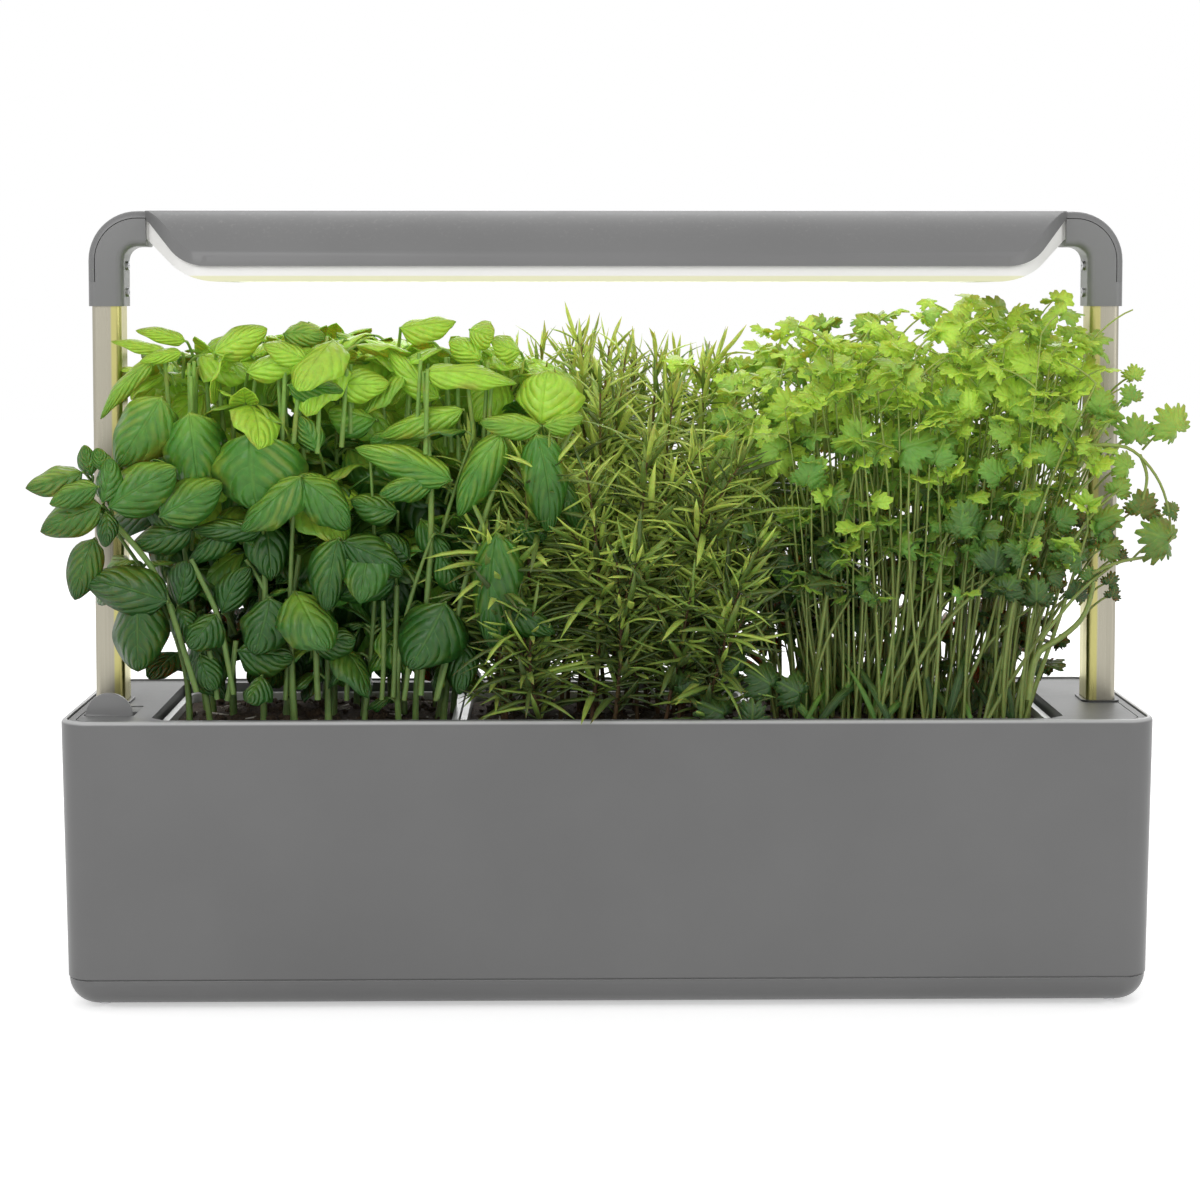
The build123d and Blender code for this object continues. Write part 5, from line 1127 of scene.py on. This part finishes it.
corianderFacts = {
    # both in millimetres
    "leafSize": (13.0, 22.0), "stemRadius": 0.95,
    # how many, and the places of their feet in millimetres
    "stems": {"count": 168, "x": (88, 232), "y": (-47, 46)},
    "leaning": {"count": 64, "x": (100, 226), "y": (-48, 10)},
    "straps": {"count": 60, "x": (96, 234), "y": (-54, 30)},
    # loose sprays low behind the stems, their low tones painted shade
    "rear": {"count": 190, "x": (78, 246), "y": (-12, 62), "z": (168, 278), "tone": (0.0, 0.4)},
    # lobes and depth of their notches, as a share
    "fans": ((3, 0.42), (3, 0.55), (5, 0.45), (3, 0.5), (5, 0.38), (3, 0.6)),
    "fineFans": ((3, 0.40), (3, 0.52), (5, 0.36)),
    # grown leaflets end before this x in metres, the middle of the right post
    "leafEnd": 0.272,
    # fans that face the front: x, z, y and width in millimetres, tone
    "faced": (
        (54, 160, -62, 24, 0.25), (80, 176, -60, 22, 0.35), (76, 158, -66, 20, 0.3),
        (66, 183, -56, 16, 0.4), (96, 170, -58, 19, 0.3), (44, 172, -58, 17, 0.3), (206, 240, -58, 20, 0.2),
        (228, 222, -56, 19, 0.25), (190, 262, -56, 22, 0.15), (182, 322, -44, 24, 0.6),
        (150, 330, -40, 22, 0.5), (118, 330, -42, 24, 0.4), (96, 322, -40, 22, 0.5),
        (132, 306, -50, 24, 0.3), (166, 300, -52, 26, 0.25), (108, 286, -50, 20, 0.3),
        (86, 300, -44, 20, 0.4), (214, 330, -42, 22, 0.6), (280, 338, -50, 11, 0.2),
        (277, 327, -54, 13, 0.1), (263, 323, -50, 17, 0.12), (298, 313, -56, 22, 0.26),
        (280, 309, -58, 19, 0.22), (265, 317, -46, 15, 0.14), (273, 290, -54, 15, 0.4),
        (273, 278, -54, 14, 0.38), (285, 269, -56, 18, 0.1), (298, 265, -58, 11, 0.08),
        (289, 252, -62, 25, 0.36), (274, 241, -56, 8, 0.2), (267, 261, -56, 21, 0.4),
        (268, 246, -58, 16, 0.3), (247, 241, -56, 18, 0.34), (268, 228, -58, 10, 0.16),
        (269, 221, -58, 9, 0.12), (251, 222, -54, 14, 0.18), (256, 231, -58, 10, 0.34),
        (245, 316, -52, 16, 0.34), (222, 319, -54, 16, 0.3), (221, 343, -50, 20, 0.8),
        (245, 344, -50, 16, 0.7), (245, 261, -54, 15, 0.3), (216, 244, -56, 17, 0.26),
        (214, 225, -58, 16, 0.3), (239, 231, -56, 13, 0.22), (234, 296, -52, 17, 0.4),
        (255, 296, -48, 14, 0.44), (203, 286, -54, 17, 0.34), (224, 270, -54, 16, 0.36),
        (187, 259, -56, 17, 0.26), (209, 307, -50, 17, 0.44), (176, 296, -54, 18, 0.3),
        (192, 323, -52, 18, 0.6),
    ),
    # x, top z of the foliage's outline, in millimetres
    "outline": (
        (66, 340), (98, 350), (115, 366), (148, 360), (164, 372), (181, 354), (198, 376), (214, 366),
        (231, 376), (247, 360), (264, 366), (281, 342), (297, 330), (314, 312),
    ),
    # long stalks in front that reach out to the right post and past it: x, y, z in millimetres
    "loops": (
        ((255, -58, 299), (271, -58, 300), (282, -58, 294), (293, -58, 280), (298, -58, 264),
         (299, -58, 253)),
        ((282, -57, 294), (286, -57, 286), (286, -57, 277), (284, -57, 270)),
        ((257, -60, 231), (269, -60, 237), (282, -60, 239), (293, -60, 241), (300, -60, 251)),
        ((224, -58, 163), (225, -58, 187), (238, -58, 194), (252, -58, 205), (257, -58, 218),
         (258, -58, 226)),
        ((250, -52, 285), (262, -52, 306), (274, -52, 321)),
        ((241, -54, 237), (251, -54, 253), (262, -54, 267), (272, -54, 275)),
        ((230, -58, 195), (245, -58, 216), (261, -58, 230), (268, -58, 235)),
        ((247, -50, 269), (257, -50, 280), (270, -50, 293), (274, -50, 301)),
    ),
}
corianderLeafMaterial = plantMaterial(
    "corianderLeaf", (0.030, 0.080, 0.018), (0.145, 0.340, 0.052), (0.470, 0.700, 0.075), 0.190, 0.338, 0.20,
    (0.28, 0.46, 0.10), 5.0, 0.5, 0.4, 0.46, 0.13, warm=(0.24, 0.26, 0.04))
corianderStemMaterial = plantMaterial(
    "corianderStem", (0.20, 0.27, 0.070), (0.30, 0.42, 0.095), (0.46, 0.64, 0.16), 0.16, 0.35,
    bump=0.25, gloss=0.42, glow=0.05)


def outlineTop(x):
    marks = corianderFacts["outline"]
    x = min(max(x, marks[0][0]), marks[-1][0])
    for (x0, z0), (x1, z1) in zip(marks, marks[1:]):
        if x <= x1:
            return z0 + (z1 - z0) * (x - x0) / (x1 - x0)


def buildCoriander():
    rng = random.Random(19)
    shapes = [fanTemplate(lobes, notch, rng) for lobes, notch in corianderFacts["fans"]]
    small, large = corianderFacts["leafSize"]
    stems, leaning, rear, straps = (corianderFacts[key] for key in ("stems", "leaning", "rear", "straps"))
    leaves, runs = [], []

    def addLeaflet(base, heading, size):
        lift = Vector((rng.uniform(-0.8, 0.8), rng.uniform(-2.2, 0.2), 1)).normalized()
        end = base + heading * size * 0.8
        if isClear(end) and end.x < corianderFacts["leafEnd"]:
            leaves.append((rng.choice(shapes), aimMatrix(base, heading, lift, size, rng.uniform(-0.3, 0.3)),
                           rng.random()))

    # a stalk with three leaflets
    def addSpray(base, way, reach, size):
        tip = base + way * reach
        if not isClear(tip):
            return
        bow = Vector((0, 0, 0.15 * reach))
        runs.append([(base, 0.0006), (base.lerp(tip, 0.5) + bow, 0.0005), (tip, 0.0004)])
        flat = Vector((way.x, way.y, way.z * 0.35)).normalized()
        addLeaflet(tip, flat, size)
        for turn in (-1.15, 1.15):
            side = Matrix.Rotation(turn + rng.uniform(-0.25, 0.25), 3, "Z") @ flat
            addLeaflet(tip - way * reach * 0.12, side, size * rng.uniform(0.7, 0.95))

    for _ in range(stems["count"]):
        footX, footY = rng.uniform(*stems["x"]), rng.uniform(*stems["y"])
        spread = (footX - 160) * rng.uniform(0.15, 0.75) + rng.uniform(-14, 16)
        tipX = min(258, max(68, footX + spread + (18 if footX > 190 else 0) * rng.random()))
        tipY = max(-80, min(76, footY * rng.uniform(1.0, 1.6)))
        tipZ = outlineTop(tipX) - 10 - abs(rng.gauss(0, 22))
        # stems near the right post part before and behind it
        if tipX > 251 and abs(tipY) < 26:
            tipY = -40 if footY < 0 else 40
        path = bendPath(footAt("right", footX, footY, 0.003), pointAt(tipX, tipY, tipZ), 0.010, rng, 7)
        if not isClear(*path[1:]):
            continue
        runs.append(taper(path, corianderFacts["stemRadius"] / 1000 * rng.uniform(0.7, 1.3), 0.5))
        shares = [1.0, rng.uniform(0.8, 0.97)]
        shares += [rng.uniform(0.34, 0.92) for _ in range(rng.choice((1, 2, 3)))]
        for share in shares:
            here, _ = pathAt(path, share)
            azimuth = rng.uniform(0, 6.28)
            out = Vector((math.cos(azimuth), math.sin(azimuth), rng.uniform(0.2, 1.0))).normalized()
            reach = rng.uniform(0.012, 0.030)
            addSpray(here, out, reach, rng.uniform(small, large) / 1000)
    for _ in range(leaning["count"]):
        foot = footAt("right", rng.uniform(*leaning["x"]), rng.uniform(*leaning["y"]), 0.003)
        tip = foot + pointAt(rng.uniform(10, 62), rng.uniform(-14, 8), rng.uniform(50, 150))
        tip.x = min(tip.x, 0.262)
        path = bendPath(foot, tip, 0.012, rng, 5)
        if isClear(*path[1:]):
            runs.append(taper(path, rng.uniform(0.0010, 0.0017), 0.5))
            addSpray(path[-1], Vector((rng.uniform(-0.5, 1), -0.3, 0.8)).normalized(), 0.014, 0.018)
    # dark leaves low behind the stems, which close the view through the pot; their darkness is painted shade
    for _ in range(rear["count"]):
        spot = pointAt(rng.uniform(*rear["x"]), rng.uniform(*rear["y"]), rng.uniform(*rear["z"]))
        azimuth = rng.uniform(0, 6.28)
        mark = len(leaves)
        addSpray(spot, Vector((math.cos(azimuth), math.sin(azimuth), 0.4)).normalized(), 0.014,
                 rng.uniform(0.015, 0.023))
        shiftTones(leaves, mark, *rear["tone"])
    blades = strapTemplates(0.075, (0.9, 1.5, 2.1), rng)
    for _ in range(straps["count"]):
        start = footAt("right", rng.uniform(*straps["x"]), rng.uniform(*straps["y"]), 0)
        heading = Vector((rng.uniform(-1, 1), rng.uniform(-0.4, 0.4), rng.uniform(0.8, 1.8)))
        size = rng.uniform(0.035, 0.07)
        place = aimMatrix(start, heading, Vector((0, -1, 0.6)), size)
        leaves.append((rng.choice(blades), place, rng.random()))
    fine = [fanTemplate(lobes, notch, rng, 54) for lobes, notch in corianderFacts["fineFans"]]
    for x, z, y, width, tone in corianderFacts["faced"]:
        centre = pointAt(x, y, z)
        size = width / 1000
        azimuth = rng.uniform(0.3, 2.8)
        heading = Vector((math.cos(azimuth), -0.25, math.sin(azimuth)))
        facing = Vector((rng.uniform(-0.3, 0.3), -1, rng.uniform(0.1, 0.6)))
        place = aimMatrix(centre - heading * size * 0.5, heading, facing, size * 1.25)
        leaves.append((rng.choice(fine), place, tone))
        inward = Vector((-0.014 if x > 240 else rng.uniform(-0.01, 0.01), 0.012, -0.014))
        stalk = centre - heading * size * 0.2
        knee = stalk + inward * 0.45 + Vector((0, 0, 0.004))
        runs.append([(stalk + inward, 0.0007), (knee, 0.0006), (stalk, 0.0005)])
    for line in corianderFacts["loops"]:
        # the one that starts in the soil is a thick stem
        thick = 0.0019 if line[0][2] < 180 else 0.0010
        runs.append([(pointAt(*place), thick * (1 - 0.08 * i)) for i, place in enumerate(line)])
    pieces = placeCopies("corianderLeaves", leaves, corianderLeafMaterial, 3, 0.00025)
    joinPlanter(pieces + [buildStems("corianderStems", runs, corianderStemMaterial, 0)], "coriander_plant")
    print("stage: coriander", len(leaves), "leaflets")


buildCoriander()


# floor, light and camera

floorFacts = {"half": 6.0, "dark": 0.80, "pale": 0.82, "shown": 0.48}


def buildFloor():
    bm = bmesh.new()
    bmesh.ops.create_grid(bm, x_segments=1, y_segments=1, size=floorFacts["half"])
    floor = addObject("floor", toMesh("floor", bm))
    material, tree, shader = newMaterial("paleFloor", 0.85, Emission_Strength=1.0)
    tone = addNoise(tree, objectPoint(tree), 3.0, 2.0)
    base = addMix(tree, tone, grey(floorFacts["dark"]), grey(floorFacts["pale"]))
    tree.links.new(base, shader.inputs["Base Color"])
    shown = addMix(tree, seenDirectly(tree), grey(0.0), grey(floorFacts["shown"]))
    tree.links.new(shown, shader.inputs["Emission Color"])
    floor.data.materials.append(material)


lightFacts = {
    # name: place, aim, size, watts
    "key": ((-1.0, -1.6, 1.3), (0, 0, 0.2), 1.3, 14.0),
    "fill": ((1.5, -1.4, 0.9), (0, 0, 0.2), 1.4, 8.0),
    "back": ((0.2, 1.5, 1.2), (0, 0, 0.3), 1.6, 16.0),
}
worldFacts = {"light": 0.66, "shown": 1.0}


def buildLights():
    for name, (place, aim, size, watts) in lightFacts.items():
        data = bpy.data.lights.new(name, "AREA")
        data.size = size
        data.energy = watts
        lamp = addObject(name, data)
        lamp.location = place
        lamp.rotation_euler = (Vector(aim) - Vector(place)).to_track_quat("-Z", "Y").to_euler()
    world = bpy.data.worlds.new("studio")
    world.use_nodes = True
    tree = world.node_tree
    tree.nodes.clear()
    back = tree.nodes.new("ShaderNodeBackground")
    back.inputs["Color"].default_value = (1, 1, 1, 1)
    out = tree.nodes.new("ShaderNodeOutputWorld")
    strength = addRange(tree, seenDirectly(tree), 0.0, 1.0, worldFacts["light"], worldFacts["shown"])
    tree.links.new(strength, back.inputs["Strength"])
    tree.links.new(back.outputs["Background"], out.inputs["Surface"])
    bpy.context.scene.world = world


cameraFacts = {"place": (-0.0244, -1.359, 0.3794), "focal": 73.96, "yaw": 0.87, "pitch": 3.08,
               "shiftDown": 0.145}


def buildCamera():
    data = bpy.data.cameras.new("studioCamera")
    data.lens = cameraFacts["focal"]
    data.sensor_width = 36.0
    data.shift_y = -cameraFacts["shiftDown"]
    data.clip_start = 0.05
    camera = addObject("studioCamera", data)
    camera.location = cameraFacts["place"]
    camera.rotation_euler = (math.radians(90 - cameraFacts["pitch"]), 0, math.radians(-cameraFacts["yaw"]))
    bpy.context.scene.camera = camera


buildFloor()
buildLights()
buildCamera()
bpy.context.scene.view_settings.view_transform = "Standard"
print("stage: studio")

bpy.context.view_layer.update()
